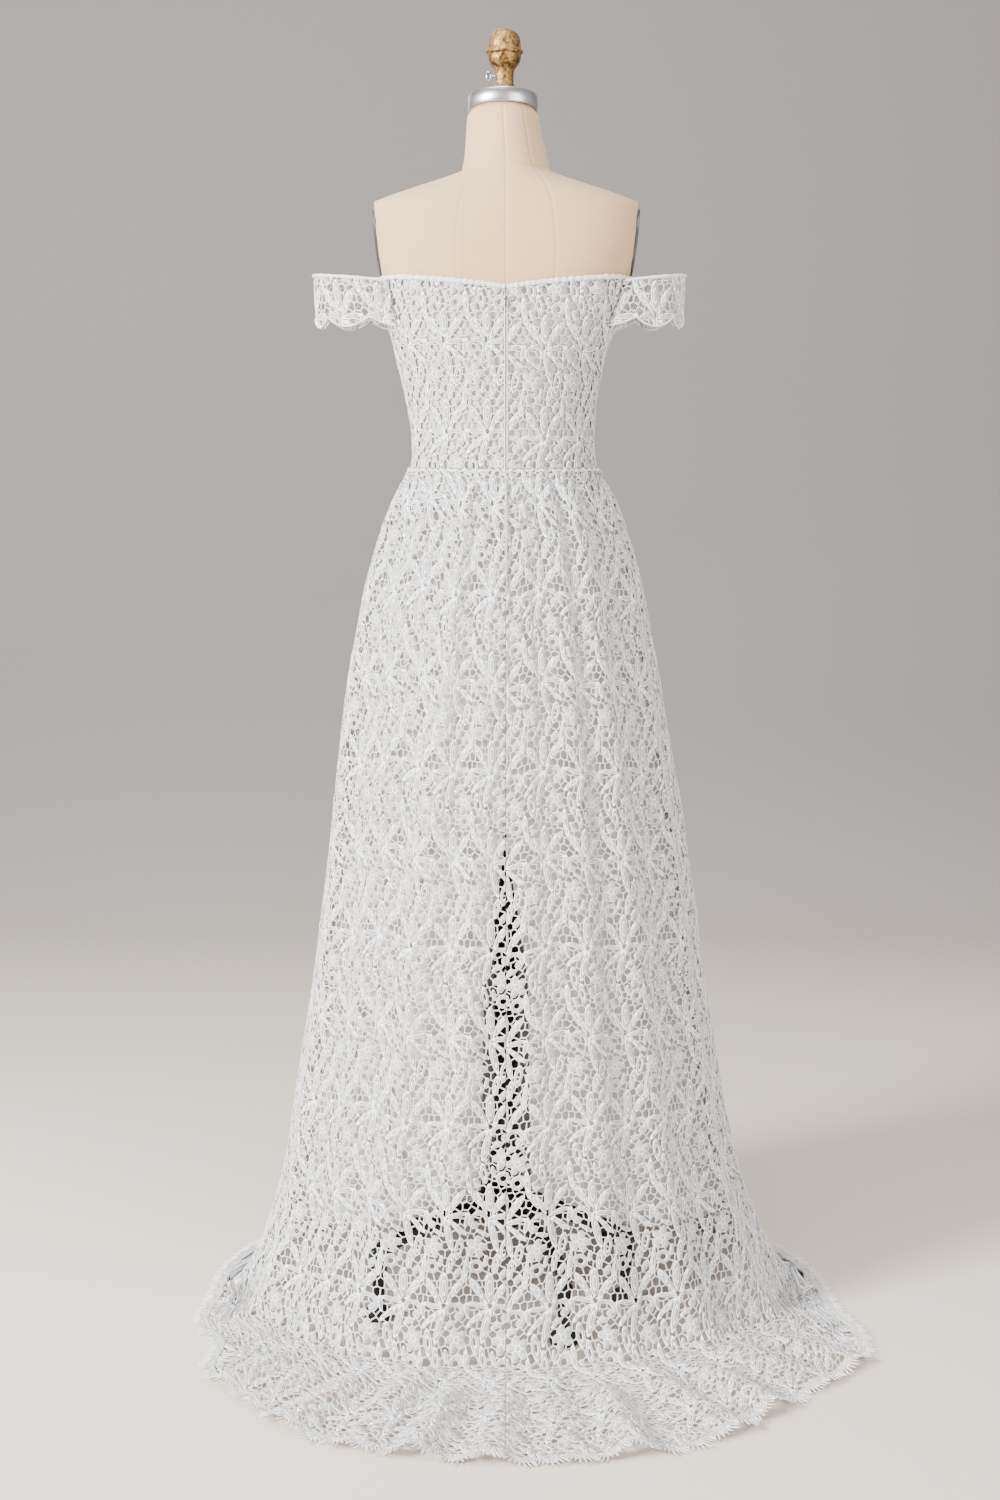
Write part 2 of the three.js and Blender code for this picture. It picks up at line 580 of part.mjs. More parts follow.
// Rows of the skirt from the waist to the hem: a row of gaps takes two lines
function skirtRows() {
  const rows = [];
  SKIRT_PLAIN_ROWS.forEach((z) => rows.push({ z, gapBelow: false }));
  SKIRT_GAP_ROWS.forEach((z) => {
    rows.push({ z: z + GAP_HEIGHT / 2, gapBelow: true });
    rows.push({ z: z - GAP_HEIGHT / 2, gapBelow: false });
  });
  rows.sort((a, b) => b.z - a.z);
  POOL_GAP_ROWS.forEach((t) => {
    rows.push({ pool: t - POOL_GAP_HALF, gapBelow: true });
    rows.push({ pool: t + POOL_GAP_HALF, gapBelow: false });
  });
  rows.push({ pool: 1, gapBelow: false });
  return rows;
}

function skirtHalf(fromAngle, toAngle) {
  const rows = skirtRows();
  let band = 0;
  const lineSets = rows.map((row) => {
    const z = row.pool === undefined ? row.z : FLOOR_TURN_Z;
    const radius = (skirtRadius(SKIRT_MEASURE_ANGLE, z) + skirtRadius(-SKIRT_MEASURE_ANGLE, z)) / 2;
    const grown = row.pool === undefined ? radius : radius + POOL_REACH.gaps * row.pool;
    const share = GAP_WIDTH / (Math.PI * grown);
    if (row.gapBelow) band += 1;
    return laceLines(SKIRT_LACE, share, band % 2 === 0 ? GAP_STAGGER : -GAP_STAGGER);
  });
  const columns = lineSets[0].length;
  const angleAt = (i, j) => {
    const { pool, z } = rows[j];
    const radius = pool === undefined ? skirtRadius(0, z) : hemReach(0) * pool + POOL_REACH.seams;
    const inset = seamAngle(radius, SEAM_HALF_GAP);
    return fromAngle + inset + (toAngle - fromAngle - 2 * inset) * lineSets[j][i];
  };
  return wall({
    columns,
    rows: rows.length,
    thickness: LACE_WALL,
    onFloor: true,
    isGap: (i, j) => rows[j].gapBelow && isGapColumn(i, SKIRT_LACE)
      && (rows[j].pool === undefined || Math.abs(turn(angleAt(i, j), 0)) < POOL_GAP_ANGLE),
    point: (i, j) => {
      const angle = angleAt(i, j);
      const row = rows[j];
      if (row.pool !== undefined) {
        const scallop = row.pool === 1 && i % 2 === 0 ? SCALLOP_DEPTH * poolRoom(angle) : 0;
        return poolPoint(angle, row.pool, scallop);
      }
      return polar(skirtRadius(angle, row.z), angle, row.z);
    },
  });
}
addPart('skirt_left', skirtHalf(0, 180), 'lace');
addPart('skirt_right', skirtHalf(-180, 0), 'lace');

// Skirt lining, open at the centre back below the parting

const liningHemZ = (angle) => {
  const side = turn(angle, 0) < 0 ? LINING_HEM.rightRise : 0;
  const back = Math.exp(-((turn(angle, 0) / LINING_HEM.spread) ** 2));
  return LINING_HEM.side + side * (1 - back) + LINING_HEM.backRise * back;
};

addPart('skirt_lining', wall({
  columns: LINING.columns + 1,
  rows: LINING.rows,
  thickness: LINING_WALL,
  point: (i, j) => {
    const down = j / (LINING.rows - 1);
    const roughZ = LINING.top + (LINING_HEM.side - LINING.top) * down;
    const open = LINING.slitHalf * (1 - smoothstep(LINING_HEM.side, LINING.slitTop, roughZ));
    const gap = seamAngle(LINING.meanRadius, SEAM_HALF_GAP * 2 + open);
    const angle = gap + ((360 - 2 * gap) * i) / LINING.columns;
    const z = LINING.top + (liningHemZ(angle) - LINING.top) * down;
    const settle = smoothstep(WAIST_Z, WAIST_Z - LINING.settle, z);
    const inset = LINING_SETBACK + (LINING.inset - LINING_SETBACK) * settle + LINING.flare * (1 - z / WAIST_Z);
    return polar(outlineRadius(SKIRT, z, angle) - inset, angle, z);
  },
}), 'lining');

// Zip: a narrow tape behind the centre-back opening of the bodice, and on down inside the skirt

function tape({ top, bottom, steps }, radiusAt) {
  return wall({
    columns: 3,
    rows: steps + 1,
    thickness: TAPE_WALL,
    point: (i, j) => {
      const z = top + (bottom - top) * (j / steps);
      const radius = radiusAt(0, z);
      const angle = ((i - 1) * TAPE_HALF_WIDTH) / radius / DEG;
      return polar(radiusAt(angle, z) - TAPE_SETBACK, angle, z);
    },
  });
}
addPart('zip_tape_bodice', tape(BODICE_TAPE, (angle, z) => outlineRadius(BODICE, z, angle)), 'zipTape');
addPart('zip_tape_skirt', tape(SKIRT_TAPE, (angle, z) => skirtRadius(angle, z) - TAPE_SLACK), 'zipTape');

const sliderBase = outlineRadius(BODICE, SLIDER.z, 0) + REST_GAP + SLIDER.stand;
const sliderShape = new THREE.Shape();
const halfSlider = SLIDER.width / 2;
sliderShape.moveTo(-halfSlider, 0);
sliderShape.lineTo(halfSlider, 0);
sliderShape.lineTo(halfSlider, SLIDER.depth);
sliderShape.lineTo(halfSlider - SLIDER.cheek, SLIDER.depth);
sliderShape.lineTo(halfSlider - SLIDER.cheek, SLIDER.floor);
sliderShape.lineTo(-halfSlider + SLIDER.cheek, SLIDER.floor);
sliderShape.lineTo(-halfSlider + SLIDER.cheek, SLIDER.depth);
sliderShape.lineTo(-halfSlider, SLIDER.depth);
const slider = addPart('zip_slider',
  new THREE.ExtrudeGeometry(sliderShape, { depth: SLIDER.height, bevelEnabled: false }), 'chrome');
slider.position.set(0, sliderBase, SLIDER.z - SLIDER.height / 2);

const pullShape = new THREE.Shape();
const halfKnuckle = PULL.knuckleWidth / 2;
const halfPull = PULL.width / 2;
const knuckleFoot = -SLIDER.height / 2 - REST_GAP;
const shoulder = -SLIDER.height / 2 - PULL.shoulder;
const tip = -PULL.length + PULL.tip;
pullShape.moveTo(-halfKnuckle, PULL.knuckle);
pullShape.lineTo(-halfKnuckle, knuckleFoot);
pullShape.lineTo(-halfPull, shoulder);
pullShape.lineTo(-halfPull, tip);
pullShape.absarc(0, tip, halfPull, Math.PI, 2 * Math.PI, false);
pullShape.lineTo(halfPull, shoulder);
pullShape.lineTo(halfKnuckle, knuckleFoot);
pullShape.lineTo(halfKnuckle, PULL.knuckle);
const pullGeometry = new THREE.ExtrudeGeometry(
  pullShape, { depth: PULL.plate, bevelEnabled: false, curveSegments: PULL.segments });
pullGeometry.translate(0, 0, -PULL.plate / 2);
pullGeometry.rotateX(Math.PI / 2);
const pull = addPart('zip_pull', pullGeometry, 'chrome');
pull.position.set(0, sliderBase + SLIDER.floor + REST_GAP + PULL.knuckle, SLIDER.z);

const eyeRing = new THREE.TorusGeometry(EYE.radius, EYE.wire, EYE.wireSides, EYE.steps);
const eye = addPart('hook_and_eye', eyeRing, 'chrome');
eye.rotation.x = Math.PI / 2;
eye.position.set(0, outlineRadius(BODICE, EYE.z, 0) + REST_GAP + EYE.stand, EYE.z);

// Dress form

// The sides of the form are cut flat, in the plane that the arm plates lie on
const armPlateHeight = ARM_PLATE.top - ARM_PLATE.bottom;
const armPlaneX = (z) => ARM_PLATE.inner + (ARM_PLATE.lean * (z - ARM_PLATE.bottom)) / armPlateHeight;

const neckSlope = Math.tan(NECK_TILT * DEG);

function formRing({ z }) {
  const share = smoothstep(NECK_TILT_FROM, NECK_TOP, z);
  const ring = [];
  for (let i = 0; i < FORM_COLUMNS; i += 1) {
    const angle = (360 * i) / FORM_COLUMNS;
    const p = polar(outlineRadius(FORM, z, angle), angle, z);
    if (z > ARM_PLATE.bottom - ARM_PLATE.cutBelow) p.x = Math.sign(p.x) * Math.min(Math.abs(p.x), armPlaneX(z));
    p.z += p.y * neckSlope * share;
    p.x += NECK_LEAN * share;
    ring.push(p);
  }
  return ring;
}

addPart('form_body', loft(FORM.map(formRing)), 'canvas');

function capRing(radius, z, tilt, lean) {
  const ring = [];
  for (let i = 0; i < FORM_COLUMNS; i += 1) {
    const p = polar(radius, (360 * i) / FORM_COLUMNS, z);
    p.z += p.y * tilt;
    p.x += lean;
    ring.push(p);
  }
  return ring;
}
const capTop = NECK_CAP.seat + NECK_CAP.height;
addPart('neck_cap', loft([
  capRing(NECK_CAP.boss, NECK_CAP.bossTop, 0, NECK_LEAN / 2),
  capRing(NECK_CAP.boss, NECK_CAP.bossTop - NECK_CAP.bossEdge, 0, NECK_LEAN / 2),
  capRing(NECK_CAP.boss + NECK_CAP.bossFoot, capTop, neckSlope, NECK_LEAN),
  capRing(NECK_CAP.radius - NECK_CAP.bevel, capTop, neckSlope, NECK_LEAN),
  capRing(NECK_CAP.radius, capTop - NECK_CAP.bevel, neckSlope, NECK_LEAN),
  capRing(NECK_CAP.radius, NECK_CAP.seat, neckSlope, NECK_LEAN),
]), 'aluminium');

const finial = addPart('finial', turned(FINIAL, FINIAL_SIDES), 'brass');
finial.position.set(NECK_LEAN / 2, 0, FINIAL_FOOT);

// Set screw: a shank along +X with a flat oval thumb head
const headStart = SCREW.shankEnd - SCREW.start;
const headEnd = SCREW.headEnd - SCREW.start;
const screwShank = new THREE.LatheGeometry([
  [0, 0], [SCREW.shank, 0], [SCREW.shank, headStart], [SCREW.headThick / 2, headStart + SCREW.bevel],
  [SCREW.headThick / 2, headEnd - SCREW.bevel], [0, headEnd],
].map(([r, h]) => new THREE.Vector2(r, h)), SCREW.sides);
const flatten = screwShank.attributes.position;
for (let n = 0; n < flatten.count; n += 1) {
  const head = smoothstep(headStart, headEnd - SCREW.taper, flatten.getY(n));
  flatten.setX(n, flatten.getX(n) * (1 + head * (SCREW.headHalf / (SCREW.headThick / 2) - 1)));
}
screwShank.rotateZ(-Math.PI / 2);
screwShank.rotateX(Math.PI / 2);
const screw = addPart('finial_screw', screwShank, 'chrome');
screw.position.set(SCREW.start + NECK_LEAN / 2, 0, SCREW.z);

function armPlate(side) {
  const geometry = new THREE.CylinderGeometry(1, 1, ARM_PLATE.thickness, ARM_PLATE.sides);
  geometry.rotateZ(Math.PI / 2);
  geometry.scale(1, ARM_PLATE.halfDepth, armPlateHeight / 2);
  const plate = addPart(side > 0 ? 'arm_plate_left' : 'arm_plate_right', geometry, 'darkSteel');
  plate.rotation.y = side * Math.atan(ARM_PLATE.lean / armPlateHeight);
  plate.position.set(
    side * (ARM_PLATE.inner + ARM_PLATE.lean / 2 + ARM_PLATE.thickness / 2 + REST_GAP), 0,
    (ARM_PLATE.top + ARM_PLATE.bottom) / 2);
}
armPlate(1);
armPlate(-1);

// Stand

const hubTop = HUB[HUB.length - 1].h;
const poleLength = POLE.top - hubTop - REST_GAP;
const poleGeometry = new THREE.CylinderGeometry(POLE.radius, POLE.radius, poleLength, POLE.sides);
poleGeometry.rotateX(Math.PI / 2);
addPart('pole', poleGeometry, 'blackPaint').position.z = hubTop + REST_GAP + poleLength / 2;
addPart('stand_hub', turned(HUB, HUB_SIDES), 'blackPaint');

function legGeometry(reach) {
  const rings = [];
  for (let k = 0; k <= LEG.steps; k += 1) {
    const t = k / LEG.steps;
    const along = LEG.hubReach + (reach + LEG.overrun - LEG.hubReach) * t;
    const z = LEG.hubZ + (LEG.endZ - LEG.hubZ) * t + LEG.hump * Math.sin(Math.PI * t);
    const half = LEG.hubHalf + (LEG.endHalf - LEG.hubHalf) * t;
    const ring = [];
    for (let i = 0; i < LEG.sides; i += 1) {
      const a = (-2 * Math.PI * (i + 0.5)) / LEG.sides;
      ring.push(new THREE.Vector3(half * Math.cos(a), along, z + half * Math.sin(a)));
    }
    rings.push(ring);
  }
  return loft(rings);
}

LEGS.forEach(({ angle, reach }, n) => {
  const leg = addPart(`stand_leg_${n + 1}`, legGeometry(reach), 'blackPaint');
  leg.rotation.z = -angle * DEG;
  const foot = addPart(`stand_foot_${n + 1}`, turned(FOOT, FOOT_SIDES), 'rubber');
  foot.position.copy(polar(reach, angle, 0));
});

// The origin is midway across the whole part, on the floor
const bounds = new THREE.Box3().setFromObject(group);
group.position.set(-(bounds.min.x + bounds.max.x) / 2, -(bounds.min.y + bounds.max.y) / 2, 0);

export default group;
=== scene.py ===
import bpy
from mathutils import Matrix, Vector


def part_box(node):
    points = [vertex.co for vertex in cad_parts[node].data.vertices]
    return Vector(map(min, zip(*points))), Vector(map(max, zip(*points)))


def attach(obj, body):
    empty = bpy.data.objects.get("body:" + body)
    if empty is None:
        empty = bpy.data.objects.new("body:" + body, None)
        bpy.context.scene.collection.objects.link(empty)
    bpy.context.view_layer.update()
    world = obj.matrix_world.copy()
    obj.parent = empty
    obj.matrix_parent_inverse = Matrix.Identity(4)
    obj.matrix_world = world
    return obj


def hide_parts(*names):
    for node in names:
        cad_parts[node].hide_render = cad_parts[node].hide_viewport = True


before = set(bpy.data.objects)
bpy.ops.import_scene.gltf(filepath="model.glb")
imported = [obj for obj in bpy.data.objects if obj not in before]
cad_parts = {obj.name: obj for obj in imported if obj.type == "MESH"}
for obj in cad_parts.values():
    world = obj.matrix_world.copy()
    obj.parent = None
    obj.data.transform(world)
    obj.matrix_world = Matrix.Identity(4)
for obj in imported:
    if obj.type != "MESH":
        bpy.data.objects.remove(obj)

"""Looks of an off-the-shoulder guipure lace wedding dress on a limbless dress form.

Sizes are in millimetres in the dress's own frame, with the pole at x = y = 0 and the floor at z = 0.
Angles round the body are degrees from the centre back (+Y), growing towards the dress's left (+X).
Meshes are turned into the frame's metres when they are made.
"""
import logging
import math
from collections.abc import Callable
from dataclasses import dataclass, field, replace
from enum import Enum

import bmesh
import bpy
import numpy as np
from mathutils import Vector
from mathutils.geometry import delaunay_2d_cdt

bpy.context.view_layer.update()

logging.basicConfig(level=logging.INFO, format="%(message)s")
log = logging.getLogger("dress")

MM = 0.001
DRESS = "dress_and_form"
POLE_LOW, POLE_HIGH = (np.array(corner, float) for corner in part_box("pole"))
AXIS = np.array([(POLE_LOW[0] + POLE_HIGH[0]) / 2, (POLE_LOW[1] + POLE_HIGH[1]) / 2, 0.0])

WAIST_Z = 1158.0
FLOOR_TURN_Z = 4.0
NECKLINE_SIDE_Z = 1407.0
ON_FLOOR = 0.05              # how far the lowest points of lace stay above the floor

Skin = tuple[np.ndarray, list]                             # points, and the corners of each face
Value = bpy.types.NodeSocket | float | str | tuple         # what a node's input takes


class Side(Enum):
    """A side of the dress, by the sign of its angles and of x."""

    LEFT = 1
    RIGHT = -1

    @property
    def word(self) -> str:
        """The side's name in lower case."""
        return self.name.lower()


# Plain arithmetic on arrays


def smoothstep(low: float, high: float, x: np.ndarray) -> np.ndarray:
    """A soft step from 0 at low to 1 at high."""
    t = np.clip((np.asarray(x, float) - low) / (high - low), 0, 1)
    return t * t * (3 - 2 * t)


def bump_curve(x: np.ndarray) -> np.ndarray:
    """A bell of height 1 and half-width 1 about 0."""
    return np.exp(-np.square(x))


def turn(a: np.ndarray, b: np.ndarray | float) -> np.ndarray:
    """The shortest signed angle from b to a, in degrees."""
    return (np.asarray(a, float) - b + 540) % 360 - 180


def polar(radius: np.ndarray, angle: np.ndarray, z: np.ndarray) -> np.ndarray:
    """Points at a distance from the pole, at an angle and a height.

    Args:
        radius: distance from the pole, in mm.
        angle: degrees from the centre back.
        z: height above the floor, in mm.

    Returns:
        The points, one a row.
    """
    radius, angle, z = np.broadcast_arrays(radius, angle, z)
    turned = np.radians(angle)
    return np.stack([radius * np.sin(turned), radius * np.cos(turned), z], -1)


@dataclass(frozen=True)
class Ripple:
    """A wave along a path or round the body, whose crests drift so that no two are alike.

    Attributes:
        rise: height of the crests.
        count: crests in each 2 pi of the path.
        start: where it starts.
        drift: how far the crests drift.
        drift_count: how often they drift.
        drift_start: where the drift starts.
    """

    rise: float
    count: float
    start: float = 0.0
    drift: float = 0.0
    drift_count: float = 0.0
    drift_start: float = 0.0

    def at(self, x: np.ndarray) -> np.ndarray:
        """Height of the wave at places on the path."""
        drift = self.drift * np.sin(self.drift_count * x + self.drift_start)
        return self.rise * np.sin(self.count * x + self.start + drift)


class Table:
    """A short table with named columns, read between its rows as smooth curves."""

    def __init__(self, key: str, columns: str, rows: list[tuple[float, ...]]) -> None:
        """Sort the rows by the key column.

        Args:
            key: name of the column that is looked up.
            columns: names of all the columns, with spaces between.
            rows: the values.
        """
        names = columns.split()
        values = np.array(rows, float)
        values = values[np.argsort(values[:, names.index(key)])]
        self.at = values[:, names.index(key)]
        self.columns = {name: values[:, k] for k, name in enumerate(names)}

    def read(self, name: str, x: np.ndarray) -> np.ndarray:
        """Read one column.

        Args:
            name: the column.
            x: places on the key column.

        Returns:
            The column's values there, with no overshoot between rows.
        """
        at, values = self.at, self.columns[name]
        x = np.clip(np.asarray(x, float), at[0], at[-1])
        span = np.diff(at)
        steep = np.diff(values) / span
        product = steep[:-1] * steep[1:]
        total = steep[:-1] + steep[1:]
        inner = np.where(product > 0, 2 * product / np.where(total == 0, 1, total), 0)
        slope = np.concatenate([steep[:1], inner, steep[-1:]])
        k = np.clip(np.searchsorted(at, x, side="right") - 1, 0, len(span) - 1)
        t = (x - at[k]) / span[k]
        t2, t3 = t * t, t * t * t
        return (
            (2 * t3 - 3 * t2 + 1) * values[k]
            + (t3 - 2 * t2 + t) * span[k] * slope[k]
            + (3 * t2 - 2 * t3) * values[k + 1]
            + (t3 - t2) * span[k] * slope[k + 1]
        )


class Sections(Table):
    """Oval sections of a body: half-widths left and right, depths back and front, and squareness."""

    def __init__(self, rows: list[tuple[float, ...]]) -> None:
        """Take rows of z, left, right, back, front and square."""
        super().__init__("z", "z left right back front square", rows)

    def radius(self, z: np.ndarray, angle: np.ndarray) -> np.ndarray:
        """Distance from the pole to the outline at a height and an angle."""
        across = np.sin(np.radians(angle))
        along = np.cos(np.radians(angle))
        side = np.where(across >= 0, self.read("left", z), self.read("right", z))
        depth = np.where(along >= 0, self.read("back", z), self.read("front", z))
        power = self.read("square", z)
        return (np.abs(across / side) ** power + np.abs(along / depth) ** power) ** (-1 / power)


# Meshes


def new_piece(name: str, points: np.ndarray, faces: list | np.ndarray) -> bpy.types.Object:
    """Make an object from points in the dress's own millimetres.

    Args:
        name: the object's name.
        points: the points, one a row.
        faces: corners of each face.

    Returns:
        The object, at the origin, with its place in its mesh.
    """
    mesh = bpy.data.meshes.new(name)
    placed = np.asarray(points, float) * MM + AXIS
    if isinstance(faces, np.ndarray) and faces.shape[1] == 3:
        mesh.vertices.add(len(placed))
        mesh.vertices.foreach_set("co", placed.astype(np.float32).ravel())
        mesh.loops.add(faces.size)
        mesh.loops.foreach_set("vertex_index", faces.astype(np.int32).ravel())
        mesh.polygons.add(len(faces))
        mesh.polygons.foreach_set("loop_start", np.arange(0, faces.size, 3, dtype=np.int32))
        mesh.update(calc_edges=True)
    else:
        mesh.from_pydata(placed.tolist(), [], [list(map(int, face)) for face in faces])
    mesh.validate()
    mesh.update()
    return linked(name, mesh)


def linked(name: str, mesh: bpy.types.Mesh) -> bpy.types.Object:
    """Put a mesh into the scene, with smooth shading."""
    mesh.polygons.foreach_set("use_smooth", [True] * len(mesh.polygons))
    piece = bpy.data.objects.new(name, mesh)
    bpy.context.scene.collection.objects.link(piece)
    return piece


def set_uv(piece: bpy.types.Object, uv: np.ndarray) -> None:
    """Give a piece a UV map from one place for each point."""
    mesh = piece.data
    corners = np.empty(len(mesh.loops), np.int32)
    mesh.loops.foreach_get("vertex_index", corners)
    layer = mesh.uv_layers.new(name="ClothUV")
    layer.data.foreach_set("uv", uv[corners].astype(np.float32).ravel())


def rings_mesh(rings: np.ndarray, loop: bool = False) -> Skin:
    """Skin rings of points that run round the same way, with the first ring at the top or start.

    Args:
        rings: array of rings, points and coordinates.
        loop: whether the last ring joins the first. If not, both get a face.

    Returns:
        Points and faces, with the faces outwards where the rings run from +Y towards +X, top first.
    """
    count, sides, _ = rings.shape
    faces = []
    for k in range(count if loop else count - 1):
        here, there = k * sides, (k + 1) % count * sides
        for i in range(sides):
            j = (i + 1) % sides
            faces.append((here + i, here + j, there + j, there + i))
    if not loop:
        faces.append(tuple(range(sides))[::-1])
        faces.append(tuple(range((count - 1) * sides, count * sides)))
    return rings.reshape(-1, 3), faces


def lathe(profile: list[tuple[float, float]], sides: int, centre: tuple[float, float] = (0.0, 0.0)) -> Skin:
    """Turn a profile about an upright axis.

    Args:
        profile: radius and height of each point, from the top down, without points on the axis.
        sides: number of points round.
        centre: x and y of the axis.

    Returns:
        Points and faces, closed at both ends.
    """
    angles = np.arange(sides) * 360 / sides
    rings = np.stack([polar(radius, angles, height) for radius, height in profile])
    rings[..., 0] += centre[0]
    rings[..., 1] += centre[1]
    return rings_mesh(rings)


def tube(path: np.ndarray, radius: float | np.ndarray, sides: int, up: tuple[float, float, float] = (0, 0, 1),
         loop: bool = False, flatten: float = 1.0) -> Skin:
    """Carry a round section along a path.

    Args:
        path: points along the middle, one a row.
        radius: radius of the section, the same all along or one for each point.
        sides: number of points round.
        up: a direction that is never along the path.
        loop: whether the path closes on itself.
        flatten: height of the section along up over its width.

    Returns:
        Points and faces.
    """
    path = np.asarray(path, float)
    ahead = np.roll(path, -1, 0) - np.roll(path, 1, 0) if loop else np.gradient(path, axis=0)
    ahead /= np.linalg.norm(ahead, axis=1, keepdims=True)
    side = np.cross(ahead, np.array(up, float))
    side /= np.linalg.norm(side, axis=1, keepdims=True)
    rise = np.cross(side, ahead)
    radius = np.broadcast_to(radius, len(path))[:, None, None]
    around = 2 * np.pi * np.arange(sides) / sides
    across, up_share = np.cos(around)[None, :, None], flatten * np.sin(around)[None, :, None]
    ring = across * side[:, None] + up_share * rise[:, None]
    return rings_mesh(path[:, None] + radius * ring, loop=loop)


def joined(parts: list[Skin]) -> Skin:
    """Put several sets of points and faces together."""
    points, faces, start = [], [], 0
    for part_points, part_faces in parts:
        points.append(part_points)
        faces.extend([tuple(start + corner for corner in face) for face in part_faces])
        start += len(part_points)
    return np.concatenate(points), faces


def outward(piece: bpy.types.Object, merge: float = 1e-6) -> bpy.types.Object:
    """Merge doubled points of a closed piece and turn its faces outwards."""
    solid = bmesh.new()
    solid.from_mesh(piece.data)
    bmesh.ops.remove_doubles(solid, verts=solid.verts, dist=merge)
    bmesh.ops.recalc_face_normals(solid, faces=solid.faces)
    solid.to_mesh(piece.data)
    solid.free()
    piece.data.update()
    return piece


def sharpened(piece: bpy.types.Object, degrees: float = 40.0) -> bpy.types.Object:
    """Keep the shading of edges that turn more than some degrees crisp."""
    solid = bmesh.new()
    solid.from_mesh(piece.data)
    for edge in solid.edges:
        edge.smooth = not (len(edge.link_faces) == 2 and edge.calc_face_angle(0) > math.radians(degrees))
    solid.to_mesh(piece.data)
    solid.free()
    return piece


def dress_piece(piece: bpy.types.Object, material: bpy.types.Material,
                replaces: tuple[str, ...] = (), body: str = DRESS) -> bpy.types.Object:
    """Give a finished piece its material and body, and hide the CAD nodes that it stands for.

    Args:
        piece: the object.
        material: its material.
        replaces: the CAD nodes that it stands for.
        body: the CAD body that it rides on.

    Returns:
        The same object.
    """
    piece.data.materials.clear()
    piece.data.materials.append(material)
    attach(piece, body)
    if replaces:
        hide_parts(*replaces)
    log.info("%s: %d faces", piece.name, len(piece.data.polygons))
    return piece


# Materials


def linear(colour: str) -> tuple[float, float, float, float]:
    """Turn an sRGB hex colour into linear red, green, blue and alpha."""
    parts = [int(colour[k:k + 2], 16) / 255 for k in (1, 3, 5)]
    return (*[c / 12.92 if c <= 0.04045 else ((c + 0.055) / 1.055) ** 2.4 for c in parts], 1.0)


def add_node(tree: bpy.types.NodeTree, kind: str, settings: dict | None = None,
             **inputs: Value) -> bpy.types.Node:
    """Add a node to a tree.

    Args:
        tree: the tree.
        kind: the node's type.
        settings: values for the node's own properties.
        **inputs: a value or an output for each input, by name, or by number as n0, n1 and so on.

    Returns:
        The node.
    """
    node = tree.nodes.new(kind)
    for key, value in (settings or {}).items():
        setattr(node, key, value)
    for key, value in inputs.items():
        numbered = key[0] == "n" and key[1:].isdigit()
        socket = node.inputs[int(key[1:]) if numbered else key.replace("_", " ")]
        if isinstance(value, bpy.types.NodeSocket):
            tree.links.new(value, socket)
        else:
            socket.default_value = value
    return node


WAVE_UNIT = 20.0             # a wave texture has this many radians to a unit at scale 1


